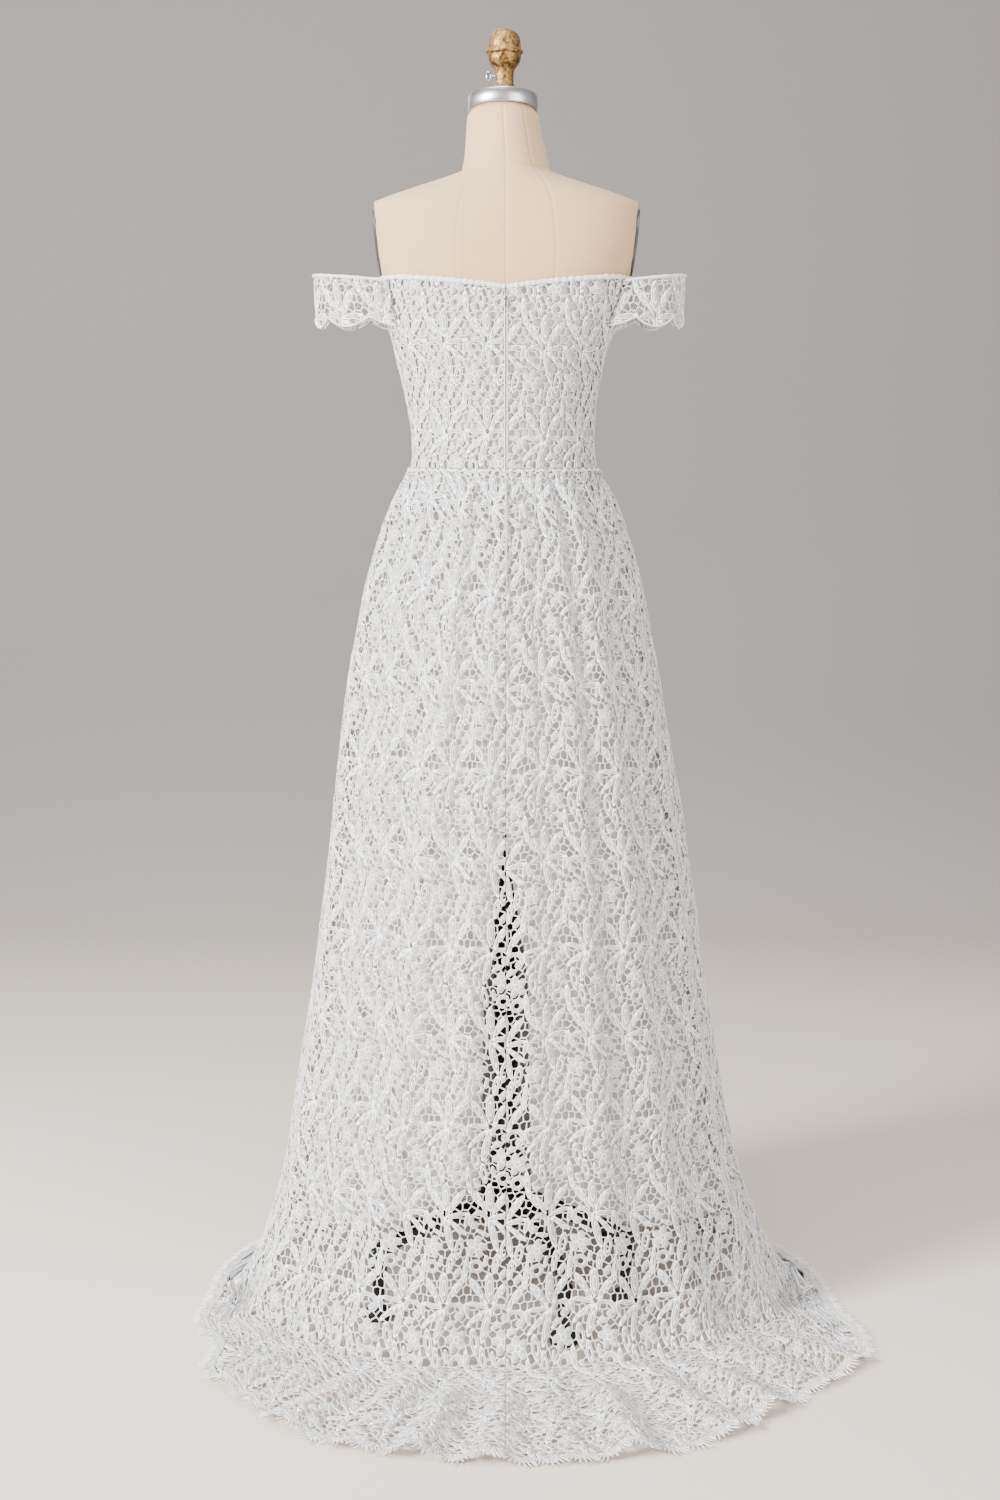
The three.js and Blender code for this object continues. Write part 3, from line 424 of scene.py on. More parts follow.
class Shader:
    """A material's node tree, with its output and principled shader in place."""

    def __init__(self, name: str) -> None:
        """Start a material of that name."""
        self.material = bpy.data.materials.new(name)
        self.material.use_nodes = True
        self.tree = self.material.node_tree
        self.tree.nodes.clear()
        self.surface = self.add("ShaderNodeBsdfPrincipled")
        self.add("ShaderNodeOutputMaterial", Surface=self.surface.outputs["BSDF"])

    def add(self, kind: str, settings: dict | None = None, **inputs: Value) -> bpy.types.Node:
        """Add a node to this material."""
        return add_node(self.tree, kind, settings, **inputs)

    def math(self, operation: str, *values: Value) -> bpy.types.NodeSocket:
        """Work out a number from others and give its output."""
        inputs = {f"n{k}": value for k, value in enumerate(values)}
        return self.add("ShaderNodeMath", {"operation": operation}, **inputs).outputs[0]

    def vector(self, operation: str, *values: Value) -> bpy.types.NodeSocket:
        """Work out a vector, or a dot product, from others and give its output."""
        inputs = {f"n{k}": value for k, value in enumerate(values)}
        node = self.add("ShaderNodeVectorMath", {"operation": operation}, **inputs)
        return node.outputs[1 if operation == "DOT_PRODUCT" else 0]

    def object_mm(self) -> bpy.types.NodeSocket:
        """Object coordinates in millimetres."""
        place = self.add("ShaderNodeTexCoord").outputs["Object"]
        return self.add("ShaderNodeVectorMath", {"operation": "SCALE"}, Vector=place, Scale=1 / MM).outputs[0]

    def soft_step(self, value: Value, low: float, high: float, start: float,
                  end: float) -> bpy.types.NodeSocket:
        """Go softly from a start at a low value to an end at a high one."""
        return self.add("ShaderNodeMapRange", {"interpolation_type": "SMOOTHSTEP"}, Value=value, n1=low,
                        n2=high, n3=start, n4=end).outputs[0]

    def noise(self, scale: float, detail: float = 2.0, roughness: float = 0.5,
              place: bpy.types.NodeSocket | None = None) -> bpy.types.NodeSocket:
        """Soft noise, scaled per millimetre."""
        place = self.object_mm() if place is None else place
        return self.add("ShaderNodeTexNoise", Vector=place, Scale=scale, Detail=detail,
                        Roughness=roughness).outputs["Fac"]

    def ribs(self, pitch: float, way: str, place: bpy.types.NodeSocket,
             **settings: float) -> bpy.types.NodeSocket:
        """Rounded ribs, a number of millimetres apart, that follow one another in a way such as X."""
        return self.add("ShaderNodeTexWave", {"bands_direction": way}, Vector=place,
                        Scale=2 * math.pi / (WAVE_UNIT * pitch), **settings).outputs["Fac"]

    def mix(self, share: Value, low: str, high: str) -> bpy.types.NodeSocket:
        """Blend two hex colours."""
        node = self.add("ShaderNodeMix", {"data_type": "RGBA"}, Factor=share)
        node.inputs[6].default_value = linear(low)
        node.inputs[7].default_value = linear(high)
        return node.outputs[2]

    def finish(self, roughness: float, metallic: float = 0.0, colour: bpy.types.NodeSocket | None = None,
               height: bpy.types.NodeSocket | None = None, depth_mm: float = 1.0, strength: float = 1.0,
               **settings: float) -> bpy.types.Material:
        """Link colour and relief to the shader.

        Args:
            roughness: the shader's roughness.
            metallic: 1 for metal.
            colour: an output that gives the colour.
            height: an output that gives the relief, as a share of depth_mm.
            depth_mm: height of the relief where it is 1.
            strength: strength of the relief.
            **settings: further numbers for the shader's sockets, by name.

        Returns:
            The material.
        """
        sockets = self.surface.inputs
        sockets["Roughness"].default_value = roughness
        sockets["Metallic"].default_value = metallic
        if colour is not None:
            self.tree.links.new(colour, sockets["Base Color"])
        if height is not None:
            bump = self.add("ShaderNodeBump", Strength=strength, Distance=depth_mm * MM, Height=height)
            self.tree.links.new(bump.outputs[0], sockets["Normal"])
        for key, value in settings.items():
            sockets[key.replace("_", " ")].default_value = value
        return self.material


@dataclass(frozen=True)
class GuipureThread:
    """Mercerised cotton guipure: dense matt stitching, raised cords round each petal, and open net."""

    # cord is painted brighter than fill as a painted highlight on the raised cords; shade is the colour of
    # the painted shade in the grooves beside the cords and in the sunk net cells
    cord: str = "#ffffff"
    fill: str = "#d3cecb"
    shade: str = "#7f7873"
    cord_width: float = 1.25
    cord_edge: float = 0.2
    cord_height: float = 1.0
    thread: float = 0.9          # real stitches lie 0.4 mm apart, drawn coarser so that they show
    thread_height: float = 0.12
    net_scale: float = 0.42      # cells of the stitched net in a millimetre
    pit_depth: float = 0.45
    # strength of the painted shade in the sunk net cells and in the grooves beside the cords
    pit_shade: float = 0.42
    groove_shade: float = 0.55

    def build(self, chart: "LaceChart") -> bpy.types.Material:
        """Draw the same petals as the chart's, as relief between the lace's own edges, with a painted
        highlight on the cords and painted shade in the grooves beside them and in the sunk net cells.
        """
        s = Shader("guipure_cotton_thread")
        place = s.add("ShaderNodeUVMap", {"uv_map": "ClothUV"}).outputs[0]
        tile = (chart.width, chart.height, 1.0)
        flat = s.vector("MULTIPLY", place, tile)
        # Every second row faces the other way, so the place is folded back into the charted row
        parts = s.add("ShaderNodeSeparateXYZ", Vector=flat)
        turned = s.math("COSINE", s.math("MULTIPLY", parts.outputs[0], 2 * math.pi / chart.width))
        top = s.math("MULTIPLY_ADD", turned, -chart.top_wave / chart.row, 1 - chart.top / chart.row)
        row = s.math("FLOOR", s.math("MULTIPLY_ADD", parts.outputs[1], 1 / chart.row, top))
        facing = s.math("MULTIPLY_ADD", s.math("FLOORED_MODULO", row, 2.0), -2.0, 1.0)
        up = s.math("MULTIPLY_ADD", row, -chart.row, parts.outputs[1])
        place = s.add("ShaderNodeCombineXYZ", X=s.math("MULTIPLY", parts.outputs[0], facing), Y=up).outputs[0]
        outline = inside = None
        half = (chart.width / 2, chart.row / 2 + chart.row, 1.0)
        for petal in chart.flower:
            near = s.vector("SUBTRACT", place, (petal.x, petal.y, 0.0))
            near = s.vector("WRAP", near, half, tuple(-size for size in half))
            c, sn = math.cos(math.radians(petal.tilt)), math.sin(math.radians(petal.tilt))
            across = s.vector("DOT_PRODUCT", near, (c / petal.across, sn / petal.across, 0.0))
            along = s.vector("DOT_PRODUCT", near, (-sn / petal.along, c / petal.along, 0.0))
            square = s.math("MULTIPLY_ADD", across, across, s.math("MULTIPLY", along, along))
            length = s.math("SQRT", square)
            away = s.math("MULTIPLY_ADD", length, petal.scale, -petal.scale)
            rim = s.math("ABSOLUTE", away)
            ring = petal.hole or (0.5 if petal.veined else 0.0)
            if ring:
                second = s.math("MULTIPLY_ADD", length, petal.scale, -ring * petal.scale)
                rim = s.math("MINIMUM", rim, s.math("ABSOLUTE", second))
            if petal.hole:
                away = s.math("MAXIMUM", away, s.math("MULTIPLY", second, -1.0))
            if petal.cut:
                beyond = s.math("SUBTRACT", s.vector("DOT_PRODUCT", near, petal.stop), petal.cut[1])
                rim, away = s.math("MAXIMUM", rim, beyond), s.math("MAXIMUM", away, beyond)
            outline = rim if outline is None else s.math("MINIMUM", outline, rim)
            inside = away if inside is None else s.math("MINIMUM", inside, away)
        cord = s.soft_step(outline, self.cord_edge, self.cord_width, 1.0, 0.0)
        # A narrow groove just outside each cord, where shade is painted
        groove = s.soft_step(outline, self.cord_width * 0.7, self.cord_width * 1.5, 1.0, 0.0)
        groove = s.math("SUBTRACT", groove, cord)
        threads = s.ribs(self.thread, "DIAGONAL", flat)
        net = s.add("ShaderNodeTexVoronoi", {"feature": "DISTANCE_TO_EDGE", "voronoi_dimensions": "2D"},
                    Vector=flat, Scale=self.net_scale).outputs[0]
        net = s.soft_step(net, 0.06, 0.3, 0.0, 1.0)
        deep = s.add("ShaderNodeMapRange", Value=inside, n1=-0.4, n2=-2.4, n3=0.0, n4=1.0).outputs[0]
        pits = s.math("MULTIPLY", s.math("MULTIPLY", net, deep), s.math("SUBTRACT", 1.0, cord))
        height = s.math("MULTIPLY", cord, self.cord_height)
        height = s.math("MULTIPLY_ADD", threads, self.thread_height, height)
        height = s.math("MULTIPLY_ADD", pits, -self.pit_depth, height)
        # Painted shade: darker in the grooves beside the cords and in the sunk net cells
        dark = s.math("MULTIPLY", groove, self.groove_shade)
        dark = s.math("ADD", s.math("MULTIPLY", pits, self.pit_shade), dark)
        # Painted highlight: the cords are brighter than the fill
        colour = s.add("ShaderNodeMix", {"data_type": "RGBA"}, Factor=cord)
        colour.inputs[6].default_value = linear(self.fill)
        colour.inputs[7].default_value = linear(self.cord)
        shaded = s.add("ShaderNodeMix", {"data_type": "RGBA"}, Factor=dark)
        s.tree.links.new(colour.outputs[2], shaded.inputs[6])
        shaded.inputs[7].default_value = linear(self.shade)
        return s.finish(0.82, colour=shaded.outputs[2], height=height, depth_mm=1.0, strength=0.9,
                        Sheen_Weight=0.12, Sheen_Roughness=0.5)


@dataclass(frozen=True)
class PlainLaceCord:
    """Twisted cotton cord: white, matt, with the twist of its plies."""

    light: str = "#f6f4f1"
    dark: str = "#dcd9d5"
    ply: float = 1.6

    def build(self) -> bpy.types.Material:
        """Slanted plies, 1.6 mm apart, on the cord's own coordinates."""
        s = Shader("twisted_cotton_cord")
        plies = s.ribs(self.ply, "DIAGONAL", s.object_mm(), Distortion=1.5, Detail=1.0)
        return s.finish(0.8, colour=s.mix(plies, self.dark, self.light), height=plies, depth_mm=0.35,
                        Sheen_Weight=0.12)


@dataclass(frozen=True)
class CrepeLining:
    """Polyester crepe: smooth, pale, with a faint sheen and slight tonal drift."""

    light: str = "#cfccc9"
    dark: str = "#bebab7"

    def build(self) -> bpy.types.Material:
        """Fine crepe grain, 0.6 mm apart, drawn at 1.2 mm, over soft drifts of tone."""
        s = Shader("polyester_crepe_lining")
        drift = s.noise(0.012)
        return s.finish(0.55, colour=s.mix(drift, self.dark, self.light), height=s.noise(0.8, 3.0),
                        depth_mm=0.12, Sheen_Weight=0.2)


@dataclass(frozen=True)
class CottonCanvas:
    """Natural cotton canvas glued over the form: plain weave, matt, warm cream."""

    light: str = "#d3b48c"
    dark: str = "#c29e74"
    pitch: float = 1.4           # real threads lie 0.6 mm apart, drawn coarser so that they show

    def build(self) -> bpy.types.Material:
        """Warp and weft as crossed waves, with slubs and a soft drift of tone."""
        s = Shader("natural_cotton_canvas")
        place = s.object_mm()
        weave = s.math("MAXIMUM", *[s.ribs(self.pitch, way, place, Distortion=0.6) for way in ("X", "Z")])
        slub = s.noise(0.05, 4.0, 0.7, place)
        tone = s.math("MULTIPLY_ADD", weave, 0.25, s.math("MULTIPLY", slub, 0.75))
        return s.finish(0.9, colour=s.mix(tone, self.dark, self.light), height=weave, depth_mm=0.12,
                        Sheen_Weight=0.15)


@dataclass(frozen=True)
class WovenTape:
    """Woven nylon zip tape: pale grey, ribbed across."""

    light: str = "#d0cdca"
    dark: str = "#b5b1ae"
    pitch: float = 1.2

    def build(self) -> bpy.types.Material:
        """Ribs 1.2 mm apart across the tape."""
        s = Shader("woven_nylon_tape")
        ribs = s.ribs(self.pitch, "Z", s.object_mm())
        return s.finish(0.7, colour=s.mix(ribs, self.dark, self.light), height=ribs, depth_mm=0.15)


@dataclass(frozen=True)
class AgedBrass:
    """Cast brass with an antique wash: brown and bright by the grain of the casting, with a painted highlight
    where the surface faces up.
    """

    # The lightest tone: reached by the casting's grain and by the painted highlight on faces that turn up
    worn: str = "#c39c68"
    base: str = "#8d6939"
    wash: str = "#47331b"
    # how much the painted highlight lightens faces that turn up
    upward_wear: float = 0.12

    def build(self) -> bpy.types.Material:
        """Casting grain of 3 mm and pits of 1 mm, with a painted highlight where the surface turns up."""
        s = Shader("aged_cast_brass")
        place = s.object_mm()
        grain = s.noise(0.22, 6.0, 0.65, place)
        pits = s.noise(0.9, 3.0, place=place)
        # Painted highlight: lighter where the surface faces up
        facing = s.add("ShaderNodeNewGeometry").outputs["Normal"]
        up = s.add("ShaderNodeSeparateXYZ", Vector=facing).outputs[2]
        ramp = s.add("ShaderNodeValToRGB", Fac=s.math("MULTIPLY_ADD", up, self.upward_wear, grain))
        stops = ramp.color_ramp.elements
        for stop, position, colour in ((stops[0], 0.36, self.wash), (stops[1], 0.7, self.worn)):
            stop.position = position
            stop.color = linear(colour)
        stops.new(0.5).color = linear(self.base)
        height = s.math("MULTIPLY_ADD", pits, 0.5, grain)
        return s.finish(0.46, 0.85, ramp.outputs[0], height, depth_mm=0.5)


@dataclass(frozen=True)
class BrushedAluminium:
    """Spun aluminium band: brushed round, with long soft highlights."""

    light: str = "#d4d4d6"
    dark: str = "#a5a4a5"
    stretch: tuple[float, float, float] = (0.02, 0.02, 1.2)

    def build(self) -> bpy.types.Material:
        """Brush lines, 0.2 mm apart, drawn 0.8 mm apart, that run round the band."""
        s = Shader("brushed_spun_aluminium")
        lines = s.noise(1.0, 4.0, place=s.vector("MULTIPLY", s.object_mm(), self.stretch))
        return s.finish(0.3, 1.0, s.mix(lines, self.dark, self.light), lines, depth_mm=0.06, Anisotropic=0.6)


@dataclass(frozen=True)
class GrainedFinish:
    """A hard finish whose tone and relief follow one fine grain.

    Attributes:
        name: the material's name.
        light: hex colour on the grain's crests.
        dark: hex colour between them.
        scale: waves of the grain in a millimetre.
        detail: how far the grain breaks up.
        roughness: the shader's roughness.
        metallic: share of metal.
        depth: height of the grain in millimetres.
        coat: weight of a clear coat.
    """

    name: str
    light: str
    dark: str
    scale: float
    detail: float
    roughness: float
    metallic: float
    depth: float
    coat: float = 0.0

    def build(self) -> bpy.types.Material:
        """Blend the two tones by the grain and raise it."""
        s = Shader(self.name)
        grain = s.noise(self.scale, self.detail)
        return s.finish(self.roughness, self.metallic, s.mix(grain, self.dark, self.light), grain,
                        depth_mm=self.depth, Coat_Weight=self.coat)


# Moulded nylon zip teeth: grey, slightly glossy, with a faint mottle
NYLON_COIL = GrainedFinish("moulded_nylon_coil", "#626166", "#4c4b50", 0.7, 2.0, 0.4, 0.0, 0.05)
# Chrome plate: bright, with faint handling marks
CHROMED_STEEL = GrainedFinish("chromed_steel", "#d6d7d9", "#b9bbbe", 0.5, 5.0, 0.16, 1.0, 0.03)
# Blackened steel plate: dark grey, satin, with a rolled grain of about 4 mm
DARK_STEEL = GrainedFinish("blackened_steel_plate", "#7d7e7e", "#4d4e4f", 0.25, 5.0, 0.42, 0.9, 0.08)
# Black stove enamel on steel: satin, with an orange peel of about 5 mm
BLACK_ENAMEL = GrainedFinish("black_stove_enamel", "#17171b", "#101014", 0.2, 2.0, 0.38, 0.0, 0.15, 0.2)
# Moulded black rubber: matt, with the mould's grain of about 1.5 mm
MOULDED_RUBBER = GrainedFinish("moulded_black_rubber", "#1b1b1b", "#101010", 0.7, 2.0, 0.75, 0.0, 0.1)


@dataclass(frozen=True)
class StudioPaper:
    """Seamless background paper: warm and pale on the floor, with painted shade that greys it up the sweep.
    """

    floor: str = "#dbcdc0"
    # sweep is the colour of the painted shade on the far floor and up the sweep; fade is the length over
    # which that painted shade deepens
    sweep: str = "#8b8683"
    fade: float = 3300.0         # length over which the tone changes

    def build(self) -> bpy.types.Material:
        """Painted shade: one soft change of tone, darker from the floor round the dress, back and up the
        sweep.
        """
        s = Shader("seamless_paper")
        # Painted shade: the paper darkens further back and higher up
        away = s.vector("DOT_PRODUCT", s.object_mm(), (0.0, -0.8, 1.0))
        share = s.soft_step(away, 0.0, self.fade, 0.0, 1.0)
        return s.finish(0.95, colour=s.mix(share, self.floor, self.sweep))


# Lace


@dataclass(frozen=True)
class Petal:
    """One oval of the lace chart, in millimetres.

    Attributes:
        x: middle, across.
        y: middle, up.
        across: half-width.
        along: half-length.
        tilt: lean of its length to the left, in degrees.
        veined: whether it has a second cord inside.
        hole: size of the oval that is left out of its middle, as a share.
        clear: whether no bars cross that hole.
        cut: for a scroll, the direction in degrees and the distance beyond which it stops.
    """

    x: float
    y: float
    across: float
    along: float
    tilt: float = 0.0
    veined: bool = False
    hole: float = 0.0
    clear: bool = False
    cut: tuple[float, float] | None = None

    @property
    def scale(self) -> float:
        """Millimetres for each unit of the oval's own distance."""
        return 1.15 * min(self.across, self.along)

    @property
    def stop(self) -> tuple[float, float, float]:
        """Direction across and up beyond which a scroll stops."""
        return (math.cos(math.radians(self.cut[0])), math.sin(math.radians(self.cut[0])), 0.0)

    def mirrored(self, rise: float) -> "Petal":
        """The same petal in the next row up, which faces the other way."""
        cut = (180 - self.cut[0], self.cut[1]) if self.cut else None
        return replace(self, x=-self.x, y=self.y + rise, tilt=-self.tilt, cut=cut)


def daisy(x: float, y: float, reach: float, count: int, start: float) -> list[Petal]:
    """Petals round a middle.

    Args:
        x: middle, across.
        y: middle, up.
        reach: distance from the middle to each petal's middle.
        count: number of petals.
        start: angle of the first one, in degrees.

    Returns:
        The petals and the eye.
    """
    petals = [Petal(x, y, reach * 0.42, reach * 0.42)]
    for k in range(count):
        angle = start + 360 * k / count
        turned = math.radians(angle)
        petals.append(Petal(x - reach * math.sin(turned), y + reach * math.cos(turned), reach * 0.52,
                            reach * 0.66, angle))
    return petals


def flat_area(points: np.ndarray, triangles: np.ndarray) -> float:
    """Area of flat triangles."""
    a, b, c = (points[triangles[:, k]] for k in range(3))
    return float(np.abs((b - a)[:, 0] * (c - a)[:, 1] - (b - a)[:, 1] * (c - a)[:, 0]).sum()) / 2


NO_WIDTH = 1e-4              # distances nearer to the cloth's edge than this are moved off it
FILLED = -0.3                # cloth distance that is given to gaps too small to cut


@dataclass
class LaceChart:
    """One repeat of the lace: two charted rows, of which the upper one faces the other way."""

    width: float = 62.0
    row: float = 118.0
    top: float = 42.0            # the charted row's mean top, above the flower's foot
    top_wave: float = 11.0       # how far that top rises over the flower and dips between flowers
    step: float = 0.5
    bar_half: float = 0.75
    bar_cell: float = 10.4
    swell: float = 0.35          # thread beyond the middle of each petal's cord
    smallest_gap: float = 8.0    # square millimetres
    slack: float = 0.4
    seed: int = 11
    shake: float = 0.27          # how far the cells between bars are moved about, in cells
    side_step: float = 7.0       # longest straight edge along the repeat's sides
    inner_step: float = 8.8      # points inside broad thread, and how deep they have to lie
    inner_depth: float = 2.6
    thickness: float = 1.1
    proud: float = 0.9           # how far petals stand out of the bars
    sunk: float = 0.2
    eased: tuple[float, float] = (0.8, -2.2)
    flower: tuple[Petal, ...] = (
        Petal(0, 27, 5.6, 17.5, 0, True), Petal(-10.5, 18, 2.5, 14, 26), Petal(10.5, 18, 2.5, 14, -26),
        Petal(-18.5, 25, 4.0, 13, 36, True), Petal(19, 26, 4.2, 12.5, -33, True),
        Petal(-16, 3, 2.8, 13.5, 82), Petal(-17, -13, 3.0, 16, -50, True), Petal(-5, -22, 4.6, 21, -14, True),
        Petal(14.5, -6, 14, 12.5, 0, False, 0.64, False, (250, 6.5)), Petal(20.5, -11, 4.8, 4.4),
        Petal(-20, -41, 5.4, 14, 12, False, 0.5), Petal(-8, -60, 4.2, 13, 12, False, 0.45),
        Petal(18, -65, 9.6, 8.6, 0, False, 0.5, True), Petal(-30, -4, 2.7, 9, 10),
        Petal(-29.5, -69, 3.4, 17, 7, True), Petal(-18, -73, 4.0, 7, 34), Petal(10, -21, 2.6, 8.5, -66),
        Petal(5, -57, 2.7, 7, 10), *daisy(18, -39.5, 8.8, 5, 14),
    )

    def __post_init__(self) -> None:
        """Place both rows and cut one repeat of thread."""
        self.height = 2 * self.row
        self.petals = [*self.flower, *[petal.mirrored(self.row) for petal in self.flower]]
        self.sites = self._bar_sites()
        self.points, self.triangles = self._tile()
        self.thread_share = flat_area(self.points, self.triangles) / (self.width * self.height)
        log.info("lace repeat: %d triangles, %.2f of it is thread", len(self.triangles), self.thread_share)

    def _bar_sites(self) -> np.ndarray:
        """Middles of the cells between the bars, on a shaken grid."""
        rng = np.random.default_rng(self.seed)
        across, up = round(self.width / self.bar_cell), round(self.height / self.bar_cell)
        grid = np.stack(np.meshgrid(np.arange(across) + 0.5, np.arange(up) + 0.5), -1).reshape(-1, 2)
        grid[:, 0] += 0.5 * (np.floor(grid[:, 1]) % 2)
        grid += rng.uniform(-self.shake, self.shake, grid.shape)
        return grid * [self.width / across, self.height / up]

    def _wrapped(self, offset: np.ndarray, size: float) -> np.ndarray:
        """The shortest offset between repeats."""
        return (offset + size / 2) % size - size / 2

    def _local(self, petal: Petal, x: np.ndarray, y: np.ndarray) -> tuple[np.ndarray, ...]:
        """Offsets from a petal's middle, and the distance in the petal's own units."""
        dx, dy = self._wrapped(x - petal.x, self.width), self._wrapped(y - petal.y, self.height)
        c, s = math.cos(math.radians(petal.tilt)), math.sin(math.radians(petal.tilt))
        return dx, dy, np.hypot((c * dx + s * dy) / petal.across, (c * dy - s * dx) / petal.along)

    def petal_distance(self, x: np.ndarray, y: np.ndarray) -> np.ndarray:
        """Rough distance outside the nearest petal, negative inside it."""
        nearest = np.full(np.shape(x), 1e3)
        for petal in self.petals:
            dx, dy, length = self._local(petal, x, y)
            away = (length - 1) * petal.scale
            if petal.hole:
                away = np.maximum(away, (petal.hole - length) * petal.scale)
            if petal.cut:
                away = np.maximum(away, dx * petal.stop[0] + dy * petal.stop[1] - petal.cut[1])
            nearest = np.minimum(nearest, away)
        return nearest

    def cloth_distance(self, x: np.ndarray, y: np.ndarray) -> np.ndarray:
        """Rough distance outside the thread, positive in a gap."""
        dx = self._wrapped(x[..., None] - self.sites[:, 0], self.width)
        dy = self._wrapped(y[..., None] - self.sites[:, 1], self.height)
        square = dx * dx + dy * dy
        two = np.argpartition(square, 1, -1)[..., :2]
        near, far = (np.take_along_axis(square, two[..., k:k + 1], -1)[..., 0] for k in range(2))
        ends = [[np.take_along_axis(d, two[..., k:k + 1], -1)[..., 0] for d in (dx, dy)] for k in range(2)]
        apart = np.hypot(ends[0][0] - ends[1][0], ends[0][1] - ends[1][1])
        bars = np.abs(far - near) / (2 * np.maximum(apart, 1e-6)) - self.bar_half
        cloth = np.minimum(self.petal_distance(x, y) - self.swell, bars)
        for petal in self.petals:
            if petal.clear:
                inside = (petal.hole - self._local(petal, x, y)[2]) * petal.scale
                cloth = np.maximum(cloth, inside - self.swell)
        return cloth

    def relief(self, x: np.ndarray, y: np.ndarray) -> np.ndarray:
        """Height of the lace's face: petals stand proud of the bars."""
        return self.proud * smoothstep(*self.eased, self.petal_distance(x, y)) - self.sunk

    def _crossings(self, values: np.ndarray) -> tuple[dict, dict]:
        """Places where the cloth's edge crosses the grid's lines.

        Args:
            values: cloth distance on the grid, rows of y, with the last row and column repeated.

        Returns:
            The places by grid line, and for each the lines that its edge goes on to.
        """
        rows, columns = values.shape
        places, links = {}, {}

        def place(key: tuple[str, int, int]) -> tuple[str, int, int]:
            kind, j, i = key
            if key not in places:
                a, b = values[j, i], values[j, i + 1] if kind == "h" else values[j + 1, i]
                t = a / (a - b)
                right, up = (t, 0) if kind == "h" else (0, t)
                places[key] = ((i + right) * self.step, (j + up) * self.step)
                links[key] = []
            return key

        gap = values > 0
        for j in range(rows - 1):
            for i in range(columns - 1):
                corners = (gap[j, i], gap[j, i + 1], gap[j + 1, i + 1], gap[j + 1, i])
                if all(corners) or not any(corners):
                    continue
                sides = ((("h", j, i), 0, 1), (("v", j, i + 1), 1, 2),
                         (("h", j + 1, i), 3, 2), (("v", j, i), 0, 3))
                edges = [key for key, a, b in sides if corners[a] != corners[b]]
                pairs = [(edges[0], edges[1])]
                if len(edges) == 4:
                    pairs = [(edges[0], edges[3]), (edges[1], edges[2])] if corners[0] else [
                        (edges[0], edges[1]), (edges[2], edges[3])]
                for a, b in pairs:
                    a, b = place(a), place(b)
                    links[a].append(b)
                    links[b].append(a)
        return places, links

    @staticmethod
    def _chains(links: dict) -> list[list]:
        """Follow the links into open chains and closed loops, whose first key comes again at the end."""
        left = {key: list(ends) for key, ends in links.items()}
        chains = []
        for start in sorted(left, key=lambda key: len(links[key])):
            while left[start]:
                chain = [start]
                while left[chain[-1]]:
                    here = chain[-1]
                    there = left[here].pop(0)
                    left[there].remove(here)
                    chain.append(there)
                chains.append(chain)
        return chains

    @staticmethod
    def _thinned(points: np.ndarray, slack: float) -> list[int]:
        """Points of a line that are needed to keep it within some slack."""
        keep = {0, len(points) - 1}
        stack = [(0, len(points) - 1)]
        if np.allclose(points[0], points[-1]):
            far = int(np.argmax(np.linalg.norm(points - points[0], axis=1)))
            keep.add(far)
            stack = [(0, far), (far, len(points) - 1)]
        while stack:
            a, b = stack.pop()
            if b - a < 2:
                continue
            line = points[b] - points[a]
            off = points[a + 1:b] - points[a]
            length = max(np.linalg.norm(line), 1e-9)
            apart = np.abs(line[0] * off[:, 1] - line[1] * off[:, 0]) / length
            k = int(np.argmax(apart))
            if apart[k] > slack:
                keep.add(a + 1 + k)
                stack += [(a, a + 1 + k), (a + 1 + k, b)]
        return sorted(keep)

    def _tile(self) -> tuple[np.ndarray, np.ndarray]:
        """Triangles of one repeat's thread, whose edges meet the next repeat's."""
        columns, rows = round(self.width / self.step) + 1, round(self.height / self.step) + 1
        x, y = np.meshgrid(np.arange(columns) * self.step, np.arange(rows) * self.step)
        values = self.cloth_distance(x, y)
        values[:, -1], values[-1] = values[:, 0], values[0]
        values[np.abs(values) < NO_WIDTH] = NO_WIDTH
        places, links = self._crossings(values)
        points, edges, index = [], [], {}

        def corner(key: tuple, place: tuple[float, float]) -> int:
            if key not in index:
                index[key] = len(points)
                points.append(Vector(place))
            return index[key]

        for chain in self._chains(links):
            line = np.array([places[key] for key in chain])
            closed = chain[0] == chain[-1]
            if closed:
                area = abs(np.sum(line[:-1, 0] * line[1:, 1] - line[1:, 0] * line[:-1, 1])) / 2
                if area < self.smallest_gap:
                    low, high = line.min(0), line.max(0)
                    within = (x > low[0]) & (x < high[0]) & (y > low[1]) & (y < high[1]) & (values > 0)
                    values[within] = FILLED
                    continue
            kept = self._thinned(line, self.slack)
            for a, b in zip(kept[:-1], kept[1:]):
                edges.append((corner(chain[a], line[a]), corner(chain[b], line[b])))
        self._frame_tile(edges, columns, rows, places, corner)
        apart = self.inner_step
        lines = [np.arange(apart / 2, size, apart) for size in (self.width, self.height)]
        inner_x, inner_y = np.meshgrid(*lines)
        inner_x[::2] += apart / 4
        deep = self.cloth_distance(inner_x, inner_y) < -self.inner_depth
        points += [Vector(place) for place in zip(inner_x[deep], inner_y[deep])]
        made, _, faces, *_ = delaunay_2d_cdt(points, edges, [], 0, 1e-5)
        made = np.array([tuple(point) for point in made])
        faces = np.array([tuple(face) for face in faces])
        middle = made[faces].mean(1)
        i = np.clip((middle[:, 0] / self.step).astype(int), 0, columns - 2)
        j = np.clip((middle[:, 1] / self.step).astype(int), 0, rows - 2)
        s, t = middle[:, 0] / self.step - i, middle[:, 1] / self.step - j
        at = (values[j, i] * (1 - s) + values[j, i + 1] * s) * (1 - t) + (
            values[j + 1, i] * (1 - s) + values[j + 1, i + 1] * s) * t
        return made, faces[at < 0]

